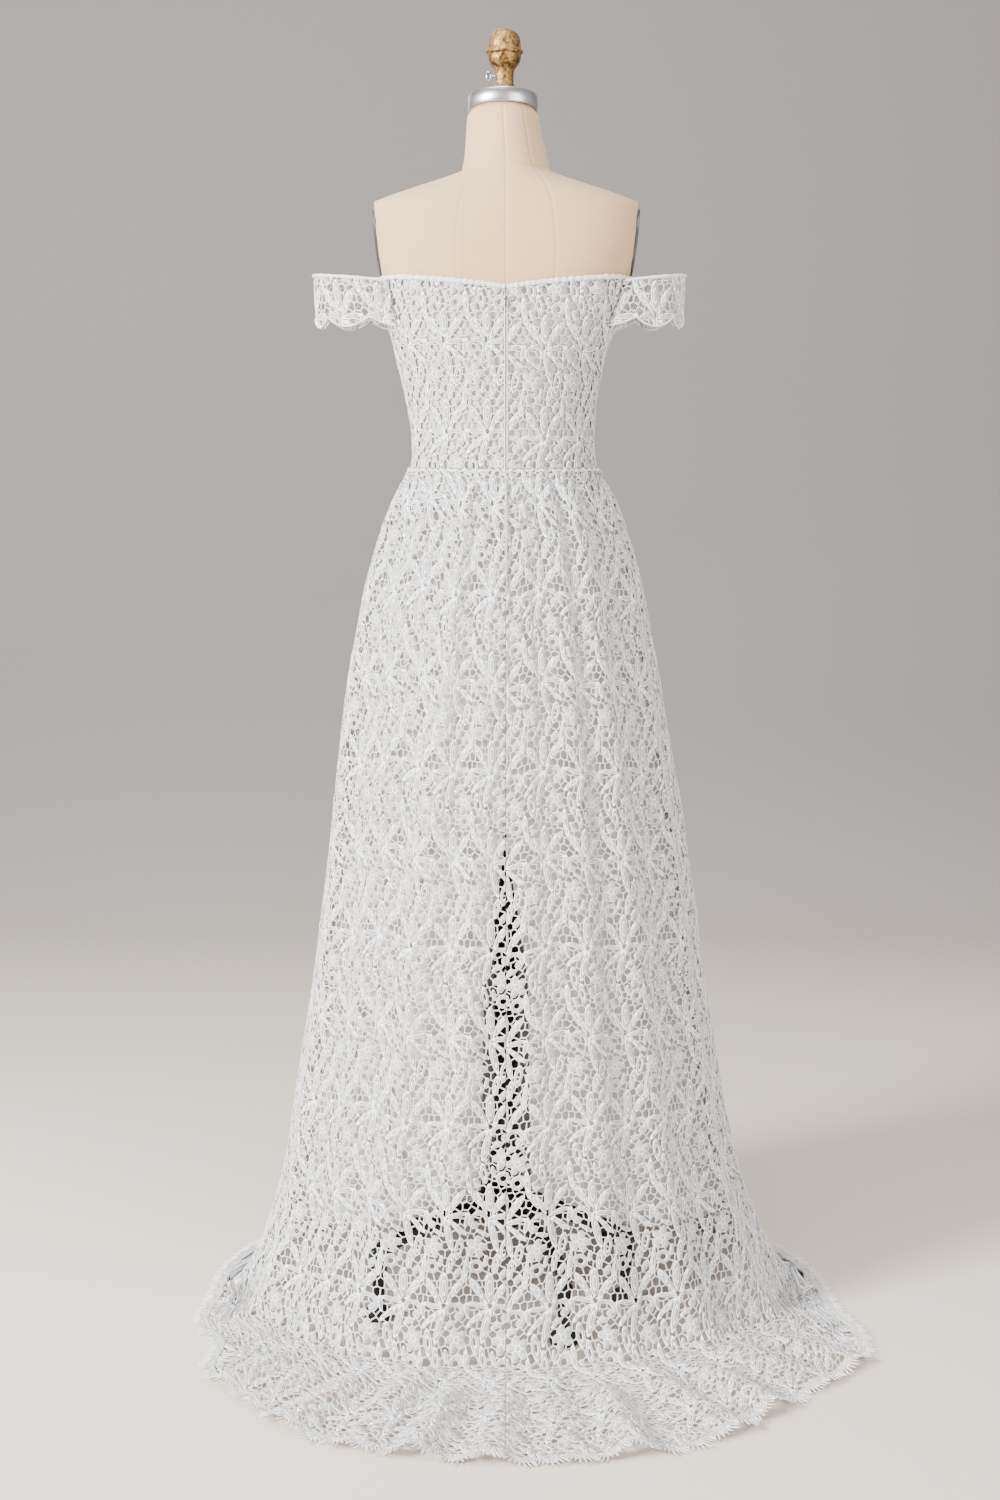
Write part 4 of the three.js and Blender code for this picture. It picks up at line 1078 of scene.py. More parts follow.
    def _frame_tile(self, edges: list, columns: int, rows: int, places: dict, corner: Callable) -> None:
        """Join the crossings along the repeat's four sides, with the same points on facing sides."""
        right, top = (columns - 1) * self.step, (rows - 1) * self.step
        for kind, size, last in (("v", top, columns - 1), ("h", right, rows - 1)):
            for at in (0, last):
                side = sorted((place[1] if kind == "v" else place[0], key) for key, place in places.items()
                              if key[0] == kind and (key[2] if kind == "v" else key[1]) == at)
                stops = [(0.0, ("corner", at if kind == "v" else 0, 0 if kind == "v" else at)), *side,
                         (size, ("corner", at if kind == "v" else last_of(kind, columns, rows),
                                 last_of(kind, columns, rows) if kind == "v" else at))]
                fixed = at * self.step
                for (a, key_a), (b, key_b) in zip(stops[:-1], stops[1:]):
                    count = max(1, round((b - a) / self.side_step))
                    previous = corner(key_a, (fixed, a) if kind == "v" else (a, fixed))
                    for k in range(1, count):
                        middle = a + (b - a) * k / count
                        spot = (fixed, middle) if kind == "v" else (middle, fixed)
                        here = corner((kind, at, (a, k)), spot)
                        edges.append((previous, here))
                        previous = here
                    edges.append((previous, corner(key_b, (fixed, b) if kind == "v" else (b, fixed))))


def last_of(kind: str, columns: int, rows: int) -> int:
    """Number of the last grid line along a side."""
    return rows - 1 if kind == "v" else columns - 1


class ClothSurface:
    """A surface that lace lies on, with a place along it (a) and a place down it (q)."""

    columns: np.ndarray
    rows: np.ndarray
    small: tuple[float, float] = (0.05, 0.0005)    # steps that its slopes are measured over
    repeat: float = 58.0
    rounds: int = 9              # of settling a point's two places against each other

    def place(self, a: np.ndarray, q: np.ndarray) -> np.ndarray:
        """Points of the cloth's outer face, in mm."""
        raise NotImplementedError

    def row_at(self, a: np.ndarray, down: np.ndarray) -> tuple[np.ndarray, np.ndarray]:
        """Place down the cloth at a distance below its top, and if that is above (-1) or below (1) it."""
        raise NotImplementedError

    def repeat_width(self, q: np.ndarray) -> np.ndarray:
        """Width of one lace repeat there, as it lies."""
        return np.full(np.shape(q), self.repeat)

    def measure(self) -> None:
        """Work out the length along the cloth at each of its rows."""
        grid_a, grid_q = np.meshgrid(self.columns, self.rows)
        points = self.place(grid_a.ravel(), grid_q.ravel()).reshape(*grid_a.shape, 3)
        steps = np.linalg.norm(np.diff(points, axis=1), axis=2)
        self.along = np.concatenate([np.zeros((len(self.rows), 1)), np.cumsum(steps, 1)], 1)
        zero = int(np.argmin(np.abs(self.columns)))
        self.along -= self.along[:, zero:zero + 1]

    def column_at(self, along: np.ndarray, q: np.ndarray) -> tuple[np.ndarray, np.ndarray]:
        """Place along the cloth at a length from its zero, and whether that is before (-1) or past (1) it."""
        row = np.interp(q, self.rows, np.arange(len(self.rows)))
        k = np.minimum(row.astype(int), len(self.rows) - 2)
        share = row - k

        def read(column: np.ndarray) -> np.ndarray:
            """Length along the cloth at a column."""
            return self.along[k, column] * (1 - share) + self.along[k + 1, column] * share

        low = np.zeros(len(q), int)
        high = np.full(len(q), len(self.columns) - 1)
        outside = np.where(along < read(low) - 1e-6, -1, np.where(along > read(high) + 1e-6, 1, 0))
        while np.any(high - low > 1):
            middle = (low + high) // 2
            under = read(middle) <= along
            low, high = np.where(under, middle, low), np.where(under, high, middle)
        start, end = read(low), read(high)
        t = np.clip((along - start) / np.maximum(end - start, 1e-9), 0, 1)
        return self.columns[low] + t * (self.columns[high] - self.columns[low]), outside

    def settle(self, u: np.ndarray, v: np.ndarray, chart: LaceChart) -> tuple[np.ndarray, ...]:
        """Find the places of points of the lace, given in repeats.

        Args:
            u: repeats along the cloth.
            v: repeats up, negative below the cloth's top.
            chart: the lace.

        Returns:
            Places along and down the cloth, and how each lies outside it along and down.
        """
        a = np.full(len(u), self.columns.mean())
        down = -v * chart.height
        for _ in range(self.rounds):
            q, _ = self.row_at(a, down)
            a, beside = self.column_at(u * self.repeat_width(q), q)
        q, below = self.row_at(a, down)
        return a, q, beside, below

    def normals(self, a: np.ndarray, q: np.ndarray) -> np.ndarray:
        """Directions straight out of the cloth."""
        da, dq = self.small
        along = self.place(a + da, q) - self.place(a - da, q)
        down = self.place(a, q + dq) - self.place(a, q - dq)
        normal = np.cross(along, down)
        return normal / np.maximum(np.linalg.norm(normal, axis=1, keepdims=True), 1e-12)


@dataclass
class LacePanel:
    """One cut piece of lace, laid on a surface."""

    name: str
    surface: ClothSurface
    chart: LaceChart
    offset: tuple[float, float] = (0.0, 0.0)
    across: tuple[float, float] = (-1.0, 1.0)
    reach: tuple[float, float] = (0.0, 1.0)
    least_wall: float = 0.5

    def build(self, finish: bpy.types.Material, replaces: tuple[str, ...], rests_on: str) -> None:
        """Lay repeats over the surface, trim them at its edges and give the thread its thickness.

        Args:
            finish: the lace's material.
            replaces: the CAD nodes that the panel stands for.
            rests_on: what it lies on; not used.
        """
        chart = self.chart
        tile = chart.points / [chart.width, chart.height]
        columns = range(math.floor(self.across[0]) - 1, math.ceil(self.across[1]) + 1)
        rows = range(math.floor(-self.reach[1]) - 1, math.ceil(-self.reach[0]) + 1)
        spots = np.concatenate([tile + [i, j] for j in rows for i in columns])
        faces = np.concatenate([chart.triangles + len(tile) * n for n in range(len(rows) * len(columns))])
        _, first, place = np.unique(np.round(spots * 1e4).astype(np.int64), axis=0, return_index=True,
                                    return_inverse=True)
        spots, faces = spots[first], place.reshape(-1)[faces]
        v_mid = spots[faces][:, :, 1].mean(1)
        faces = faces[(v_mid > -self.reach[1]) & (v_mid <= -self.reach[0])]
        used, faces = np.unique(faces, return_inverse=True)
        spots, faces = spots[used], faces.reshape(-1, 3)
        moved = spots + self.offset
        a, q, beside, below = self.surface.settle(moved[:, 0], moved[:, 1], chart)
        out = np.stack([beside, below], 1)[faces]
        lost = (np.abs(out.sum(1)) == 3).any(1)
        faces = faces[~lost]
        used, faces = np.unique(faces, return_inverse=True)
        spots, a, q, faces = spots[used], a[used], q[used], faces.reshape(-1, 3)
        outer = self.surface.place(a, q)
        normal = self.surface.normals(a, q)
        x, y = spots[:, 0] * chart.width, spots[:, 1] * chart.height
        face = outer + normal * chart.relief(x, y)[:, None]
        back = outer - normal * chart.thickness
        back[:, 2] = np.maximum(back[:, 2], ON_FLOOR)
        face[:, 2] = np.maximum(face[:, 2], back[:, 2] + self.least_wall)
        edges = np.concatenate([faces[:, [0, 1]], faces[:, [1, 2]], faces[:, [2, 0]]])
        both, place, count = np.unique(np.sort(edges, 1), axis=0, return_inverse=True, return_counts=True)
        rim = edges[count[place.reshape(-1)] == 1]
        start = len(face)
        walls = np.concatenate([np.stack([rim[:, 1], rim[:, 0], rim[:, 0] + start], 1),
                                np.stack([rim[:, 1], rim[:, 0] + start, rim[:, 1] + start], 1)])
        solid = np.concatenate([faces, faces[:, ::-1] + start, walls])
        piece = new_piece(self.name, np.concatenate([face, back]), solid)
        set_uv(piece, np.concatenate([spots, spots]))
        dress_piece(piece, finish, replaces)
        thread = flat_area(np.stack([x, y], 1), faces) * MM ** 2


# Forms of the cloth


@dataclass
class BodiceForm(ClothSurface):
    """The bodice between the neckline and the waist seam. Its place down is minus the height."""

    start: float = -180.0
    end: float = 180.0
    back_dip: float = 15.0
    front_dip: float = 10.0
    dip_angle: float = 62.0
    seam_gap: float = 0.2
    sections: Sections = field(default_factory=lambda: Sections([
        (1150, 133, 128, 97, 104, 2), (1176, 129, 122, 94, 104, 2), (1206, 130, 121, 95, 109, 2),
        (1240, 135, 123, 98, 117, 2.05), (1280, 144, 130, 103, 130, 2.1), (1320, 153, 139, 107, 141, 2.2),
        (1345, 160, 151, 108, 143, 2.35), (1375, 167, 163, 108, 138, 2.5), (1412, 172, 173, 107, 128, 2.6),
    ]))

    def __post_init__(self) -> None:
        """Measure the cloth."""
        self.columns = np.linspace(self.start, self.end, 181)
        self.rows = -np.linspace(NECKLINE_SIDE_Z, WAIST_Z, 30)
        self.small = (0.05, 0.05)
        self.measure()

    def neckline(self, angle: np.ndarray) -> np.ndarray:
        """Height of the neckline at an angle."""
        back = np.maximum(0, 1 - np.abs(turn(angle, 0)) / self.dip_angle)
        front = smoothstep(self.dip_angle, 0, np.abs(turn(angle, 180)))
        return NECKLINE_SIDE_Z - self.back_dip * back - self.front_dip * front

    def radius(self, angle: np.ndarray, z: np.ndarray) -> np.ndarray:
        """Distance from the pole to the cloth's outer face."""
        return self.sections.radius(z, angle)

    def place(self, a: np.ndarray, q: np.ndarray) -> np.ndarray:
        """Points of the bodice's outer face."""
        z = -np.asarray(q, float)
        return polar(self.radius(a, z), a, z)

    def row_at(self, a: np.ndarray, down: np.ndarray) -> tuple[np.ndarray, np.ndarray]:
        """Height below the side of the neckline, kept between the neckline and the waist."""
        z = NECKLINE_SIDE_Z - down
        top, bottom = self.neckline(a), WAIST_Z + self.seam_gap
        return -np.clip(z, bottom, top), np.where(z > top, -1, np.where(z < bottom, 1, 0))


@dataclass
class SkirtForm(ClothSurface):
    """The skirt from the waist seam to the hem. Its place down is 0 to 1, then 1 to 2 over the floor."""

    start: float = -180.0
    end: float = 180.0
    fold_at_hip: float = 0.3
    fold_growth: float = 0.75    # how late the folds grow on the way down; 1 is evenly
    fold_mean: float = 0.42
    slope: float = 1.02          # length down the cloth over the height that it falls
    pool_ridge: float = 24.0
    scallop: float = 10.0
    scallop_pitch: float = 38.0
    hem_inset: float = 5.0
    gather_rise: float = 2.4
    gather_fade: float = 34.0
    sections: Sections = field(default_factory=lambda: Sections([
        (1158, 133, 127, 97, 104, 2), (1136, 144, 139, 110, 110, 2), (1115, 154, 150, 121, 116, 2),
        (1074, 170, 164, 134, 126, 2), (1032, 183, 177, 145, 135, 2), (991, 194, 187, 154, 142, 2),
        (949, 202, 195, 162, 148, 2), (866, 217, 210, 175, 158, 2), (782, 228, 224, 187, 168, 2),
        (697, 237, 240, 199, 178, 2), (611, 246, 252, 210, 188, 2), (525, 257, 265, 221, 198, 2),
        (438, 268, 276, 232, 209, 2), (351, 282, 290, 243, 221, 2), (263, 296, 305, 255, 234, 2),
        (174, 310, 324, 268, 247, 2), (112, 326, 345, 280, 256, 2), (60, 344, 366, 292, 264, 2),
        (25, 360, 387, 306, 270, 2), (4, 373, 403, 325, 274, 2),
    ]))
    # Ridges of the soft folds: angle at the hip, angle at the floor, rise and half-width
    folds: tuple[tuple[float, float, float, float], ...] = (
        (4, 18, 17, 6.5), (23, 37, 22, 6.5), (50, 52, 15, 6), (74, 68, 24, 7), (98, 92, 16, 8),
        (121, 118, 18, 8), (144, 143, 15, 8), (168, 168, 18, 8), (-8, -8, 9, 6), (-28, -28, 12, 6),
        (-43, -48, 17, 6.5), (-66, -68, 20, 7), (-92, -92, 16, 8), (-116, -116, 18, 8), (-141, -141, 15, 8),
        (-164, -166, 17, 8),
    )
    # Small folds of the train between them: angle at the skirt, angle at the hem, rise and half-width
    train_folds: tuple[tuple[float, float, float, float], ...] = (
        (-1, 2, 15, 2.9), (9, 11, 20, 2.7), (27, 29, 17, 3.2), (45, 43, 22, 2.9), (60, 57, 17, 3.0),
        (-18, -15, 20, 2.8), (-27, -29, 14, 2.5), (-38, -36, 21, 2.9), (-58, -55, 18, 2.7),
        (-79, -74, 12, 3.2), (83, 77, 12, 3.2),
    )
    fold_sharpness: float = 0.55 # width of the folds on the floor against the skirt's
    fold_unit: float = 20.0      # a fold of this rise is as high on the floor as the pool's ridge
    hem_lift: float = 0.5        # share of a fold's height that is left at the hem
    crest: tuple[float, float] = (0.1, 0.4)       # start and loss of the ridge's swell over the floor
    room: tuple[float, float] = (60.0, 260.0)     # lengths on the floor between which folds and scallops grow
    lift_start: float = 0.16
    lie: tuple[float, float] = (0.2, 1.6)         # where the cloth lies on the floor, and how far above it
    train_start: tuple[float, float] = (0.1, 0.5)
    # Small uneven gathers: short waves below the seam, and creases that run on down from it
    gather_waves: tuple[Ripple, ...] = (Ripple(1.0, 47, 0.0, 2.1, 5), Ripple(0.6, 71, 1.3, 1.7, 3))
    crease: Ripple = Ripple(1.0, 29, 0.7, 1.4, 4)
    crease_groups: Ripple = Ripple(1.0, 3.0, 0.9)
    fine_crease: Ripple = Ripple(0.5, 53, 0.0, 2.6, 6, 1.1)
    crease_fade: float = 380.0
    crease_share: float = 0.25   # of the creases is left at the floor
    crease_end: tuple[float, float] = (1154.0, 980.0)
    # How far the rows of lace dip
    row_dips: tuple[Ripple, ...] = (Ripple(5.0, 5.3, 0.4), Ripple(3.5, 11.7, 2.0))
    repeat_top: float = 50.0     # width of a repeat at the waist
    repeat_gain: tuple[float, float] = (12.0, 2.0)        # what it gains to the floor, and from there on
    hem: Table = field(default_factory=lambda: Table("angle", "angle reach", [
        (-180, 325), (-150, 347), (-120, 398), (-96, 440), (-76, 476), (-66, 530), (-57, 562), (-48, 560),
        (-38, 566), (-28, 592), (-18, 604), (-5, 603), (7, 600), (17, 596), (27, 580), (38, 542), (48, 522),
        (58, 462), (67, 458), (80, 424), (96, 412), (120, 386), (150, 343), (180, 325),
    ]))

    def __post_init__(self) -> None:
        """Measure the cloth."""
        self.columns = np.linspace(self.start, self.end, 361)
        self.rows = np.concatenate([np.linspace(0, 1, 60), np.linspace(1.02, 2, 26)])
        self.down_to_floor = (WAIST_Z - FLOOR_TURN_Z) * self.slope
        self.hem_angles = np.arange(-180, 180.5, 0.5)
        edge = polar(self.hem.read("reach", self.hem_angles), self.hem_angles, 0.0)
        length = np.concatenate([[0], np.cumsum(np.linalg.norm(np.diff(edge, axis=0), axis=1))])
        self.scallops = length / length[-1] * round(length[-1] / self.scallop_pitch)
        self.measure()

    def fold_rise(self, angle: np.ndarray, z: np.ndarray) -> np.ndarray:
        """How far the folds stand out of the plain outline."""
        fall = 1 - np.maximum(z, 0) / WAIST_Z
        strength = self.fold_at_hip + (1 - self.fold_at_hip) * fall ** self.fold_growth
        strength = strength * smoothstep(WAIST_Z, WAIST_Z - 60, z)
        total = -self.fold_mean * np.mean([fold[2] for fold in self.folds])
        for top, low, rise, width in self.folds:
            total = total + rise * bump_curve(turn(angle, top + (low - top) * fall) / width)
        return strength * total

    def gathers(self, angle: np.ndarray, z: np.ndarray) -> np.ndarray:
        """Small uneven gathers below the waist seam."""
        depth = np.clip(WAIST_Z - z, 0, None)
        fade = np.exp(-depth / self.gather_fade) * smoothstep(0, 3, depth)
        turned = np.radians(angle)
        wave = sum(ripple.at(turned) for ripple in self.gather_waves)
        crease = self.crease.at(turned) * self.crease_groups.at(turned) + self.fine_crease.at(turned)
        left = self.crease_share + (1 - self.crease_share) * np.exp(-depth / self.crease_fade)
        long_fade = smoothstep(0, 30, depth) * left * smoothstep(*self.crease_end, depth)
        return self.gather_rise * (0.6 * fade * wave + 0.9 * long_fade * crease)

    def radius(self, angle: np.ndarray, z: np.ndarray) -> np.ndarray:
        """Distance from the pole to the cloth's outer face."""
        return self.sections.radius(z, angle) + self.fold_rise(angle, z) + self.gathers(angle, z)

    def pool_length(self, angle: np.ndarray) -> np.ndarray:
        """Length of cloth that lies on the floor."""
        start = self.radius(angle, np.full(np.shape(angle), FLOOR_TURN_Z))
        return self.hem.read("reach", turn(angle, 0)) - start

    def hem_share(self, angle: np.ndarray) -> np.ndarray:
        """Where the scalloped hem ends, as a share of the cloth on the floor."""
        room = smoothstep(*self.room, self.pool_length(angle))
        phase = np.pi * np.interp(turn(angle, 0), self.hem_angles, self.scallops)
        inset = self.hem_inset + self.scallop * (0.35 + 0.65 * room) * (1 - np.abs(np.cos(phase)))
        return 1 - inset / self.pool_length(angle)

    def place(self, a: np.ndarray, q: np.ndarray) -> np.ndarray:
        """Points of the skirt's outer face."""
        a, q = np.broadcast_arrays(np.asarray(a, float), np.asarray(q, float))
        z = WAIST_Z - (WAIST_Z - FLOOR_TURN_Z) * np.clip(q, 0, 1)
        t = np.clip(q - 1, 0, 1)
        start = self.radius(a, z)
        length = self.pool_length(a)
        ridge = np.zeros(np.shape(a))
        for _, low, rise, width in self.folds:
            shape = bump_curve(turn(a, low) / (width * self.fold_sharpness))
            ridge = np.maximum(ridge, shape * rise / self.fold_unit)
        begin, loss = self.crest
        swell = np.sin(np.pi * np.minimum(1, t * (1 - begin) + begin)) * (1 - loss * t)
        lift = self.pool_ridge * ridge * np.maximum(swell, self.hem_lift * t)
        for near, far, rise, width in self.train_folds:
            shape = bump_curve(turn(a, near + (far - near) * t) / width)
            lift = np.maximum(lift, rise * shape * smoothstep(*self.train_start, t))
        lift = lift * smoothstep(*self.room, length) * smoothstep(0, self.lift_start, t)
        flat, lie = self.lie
        floor_z = FLOOR_TURN_Z + (lie - FLOOR_TURN_Z) * smoothstep(0, flat, t)
        height = np.where(q > 1, np.maximum(floor_z, lie) + lift, z)
        return polar(start + length * t, a, height)

    def row_at(self, a: np.ndarray, down: np.ndarray) -> tuple[np.ndarray, np.ndarray]:
        """Place down the cloth, kept between the waist seam and the hem. Rows of lace dip a little."""
        for dip in self.row_dips:
            down = down + dip.at(np.radians(a))
        over = (down - self.down_to_floor) / self.pool_length(a)
        q = np.where(over > 0, 1 + over, down / self.down_to_floor)
        last = 1 + self.hem_share(a)
        return np.clip(q, 0.0002, last), np.where(q < 0.0002, -1, np.where(q > last, 1, 0))

    def repeat_width(self, q: np.ndarray) -> np.ndarray:
        """Repeats are closed up by the gathers at the hip and lie nearly flat at the floor."""
        fall, train = self.repeat_gain
        return self.repeat_top + fall * np.clip(q, 0, 1) + train * np.clip(np.asarray(q) - 1, 0, 1)


@dataclass
class SleeveForm(ClothSurface):
    """An off-the-shoulder band that stands out round the open armhole. Its place down is 0 to 1."""

    side: Side = Side.LEFT
    reach: float = 260.0
    half_depth: float = 63.0
    drop: float = 54.0
    rise: float = 10.0
    seat: float = 1352.0
    flare: float = 3.0
    seat_gap: float = 3.2
    scallop: float = 7.0
    scallops: int = 5
    lower_lap: float = 0.09      # how far the scallops' points pass the band's drop, as a share
    pucker: Ripple = Ripple(1.0, 9 * math.pi, 0.6)
    pucker_rise: float = 1.6
    bodice: BodiceForm = field(default_factory=BodiceForm)

    def __post_init__(self) -> None:
        """Measure the cloth."""
        self.columns = np.linspace(0, 1, 121)
        self.rows = np.linspace(0, 1.2, 14)
        self.small = (0.002, 0.004)
        self.measure()

    def place(self, a: np.ndarray, q: np.ndarray) -> np.ndarray:
        """Points of the band's outer face: back to front on the left, front to back on the right."""
        t = np.asarray(a, float) if self.side is Side.LEFT else 1 - np.asarray(a, float)
        t = np.clip(t, 0, 1)
        up = 1 - np.asarray(q, float)
        bulge = np.sin(np.pi * t)
        y = self.half_depth * np.cos(np.pi * t)
        z = self.seat + self.rise * bulge * up + self.drop * up
        level = np.minimum(z, NECKLINE_SIDE_Z)
        table = self.bodice.sections
        depth = np.where(y >= 0, table.read("back", level), table.read("front", level))
        width = table.read(self.side.word, level)
        power = table.read("square", level)
        seat = width * (1 - np.abs(y / depth) ** power) ** (1 / power) + self.seat_gap
        out = self.reach - self.flare * (1 - up)
        pucker = self.pucker_rise * bulge * self.pucker.at(t) * (0.4 + 0.6 * (1 - up))
        return np.stack([self.side.value * (seat + (out + pucker - seat) * bulge), y, z], -1)

    def row_at(self, a: np.ndarray, down: np.ndarray) -> tuple[np.ndarray, np.ndarray]:
        """Place down the band, kept between its top and its scalloped edge."""
        q = down / self.drop
        notch = (1 - np.abs(np.cos(self.scallops * np.pi * np.asarray(a)))) * 1.6
        last = 1 - self.scallop / self.drop * notch + self.lower_lap
        return np.clip(q, 0, last), np.where(q < 0, -1, np.where(q > last, 1, 0))


# Geometry Nodes


WAY_OUT = "way_out"          # the stored direction that a copy's z takes


class Rule:
    """A Geometry Nodes tree that sets copies of a small shape along a path."""

    def __init__(self, name: str) -> None:
        """Start a tree with the path as its input."""
        self.tree = bpy.data.node_groups.new(name, "GeometryNodeTree")
        self.tree.interface.new_socket("Geometry", in_out="INPUT", socket_type="NodeSocketGeometry")
        self.tree.interface.new_socket("Geometry", in_out="OUTPUT", socket_type="NodeSocketGeometry")
        self.sizes: dict[str, str] = {}
        for label, kind in (("Pitch", "NodeSocketFloat"), ("Shape", "NodeSocketObject"),
                            ("Uneven", "NodeSocketFloat"), ("Material", "NodeSocketMaterial")):
            socket = self.tree.interface.new_socket(label, in_out="INPUT", socket_type=kind)
            self.sizes[label] = socket.identifier
        self.start = self.tree.nodes.new("NodeGroupInput")
        self.end = self.tree.nodes.new("NodeGroupOutput")

    def add(self, kind: str, settings: dict | None = None, **inputs: Value) -> bpy.types.Node:
        """Add a node to this rule."""
        return add_node(self.tree, kind, settings, **inputs)

    def along_path(self, seed: int) -> "Rule":
        """Stand a copy at each step along the path, its z along the path's stored way out.

        Args:
            seed: the fixed seed of the copies' unevenness.

        Returns:
            This rule.
        """
        given = self.start.outputs
        out = self.add("GeometryNodeInputNamedAttribute", {"data_type": "FLOAT_VECTOR"}, Name=WAY_OUT)
        curve = self.add("GeometryNodeMeshToCurve", Mesh=given["Geometry"])
        spaced = self.add("GeometryNodeResampleCurve", {"mode": "LENGTH"}, Curve=curve.outputs[0],
                          Length=given["Pitch"])
        tangent = self.add("GeometryNodeInputTangent").outputs[0]
        along = self.add("FunctionNodeAlignRotationToVector", {"axis": "X"}, Vector=tangent)
        facing = self.add("FunctionNodeAlignRotationToVector", {"axis": "Z", "pivot_axis": "X"},
                          Rotation=along.outputs[0], Vector=out.outputs[0])
        least = self.add("ShaderNodeMath", {"operation": "SUBTRACT"}, n0=1.0, n1=given["Uneven"]).outputs[0]
        size = self.add("FunctionNodeRandomValue", {"data_type": "FLOAT"}, n2=least, n3=1.0, Seed=seed)
        shape = self.add("GeometryNodeObjectInfo", Object=given["Shape"])
        copies = self.add("GeometryNodeInstanceOnPoints", Points=spaced.outputs[0],
                          Instance=shape.outputs["Geometry"], Rotation=facing.outputs[0],
                          Scale=size.outputs[1])
        solid = self.add("GeometryNodeRealizeInstances", Geometry=copies.outputs[0])
        painted = self.add("GeometryNodeSetMaterial", Geometry=solid.outputs[0], Material=given["Material"])
        self.tree.links.new(painted.outputs[0], self.end.inputs[0])
        return self

    def run(self, name: str, path: np.ndarray, ways: np.ndarray, shape: Skin, pitch: float,
            material: bpy.types.Material, uneven: float = 0.0, loop: bool = False) -> bpy.types.Object:
        """Make the copies as one plain mesh.

        Args:
            name: the new object's name.
            path: points of the path, in mm.
            ways: for each point, the direction that a copy's z takes.
            shape: points and faces of the copied shape, in mm about its own foot.
            pitch: distance between copies, in mm.
            material: the copies' material.
            uneven: how much smaller the smallest copy may be, as a share.
            loop: whether the path closes on itself.

        Returns:
            The object.
        """
        stamp_mesh = bpy.data.meshes.new(name + "_stamp")
        stamp_mesh.from_pydata((shape[0] * MM).tolist(), [], [tuple(face) for face in shape[1]])
        stamp = linked(name + "_stamp", stamp_mesh)
        mesh = bpy.data.meshes.new(name)
        edges = [(k, k + 1) for k in range(len(path) - 1)] + ([(len(path) - 1, 0)] if loop else [])
        mesh.from_pydata((np.asarray(path) * MM + AXIS).tolist(), edges, [])
        mesh.attributes.new(WAY_OUT, "FLOAT_VECTOR", "POINT").data.foreach_set(
            "vector", np.asarray(ways, np.float32).ravel())
        piece = linked(name, mesh)
        modifier = piece.modifiers.new("rule", "NODES")
        modifier.node_group = self.tree
        modifier[self.sizes["Pitch"]] = pitch * MM
        modifier[self.sizes["Shape"]] = stamp
        modifier[self.sizes["Uneven"]] = uneven
        modifier[self.sizes["Material"]] = material
        seen = piece.evaluated_get(bpy.context.evaluated_depsgraph_get())
        made = bpy.data.meshes.new_from_object(seen)
        piece.modifiers.remove(modifier)
        piece.data = made
        bpy.data.meshes.remove(mesh)
        bpy.data.objects.remove(stamp)
        made.name = name
        return piece


# Sub-assemblies


@dataclass
class Finishes:
    """Every material of the dress, the form and the stand."""

    def __post_init__(self) -> None:
        """Build the materials once."""
        self.chart = LaceChart()
        self.lace = GuipureThread().build(self.chart)
        self.cord = PlainLaceCord().build()
        self.lining = CrepeLining().build()
        self.canvas = CottonCanvas().build()
        self.tape = WovenTape().build()
        self.coil = NYLON_COIL.build()
        self.brass = AgedBrass().build()
        self.aluminium = BrushedAluminium().build()
        self.chrome = CHROMED_STEEL.build()
        self.steel = DARK_STEEL.build()
        self.enamel = BLACK_ENAMEL.build()
        self.rubber = MOULDED_RUBBER.build()


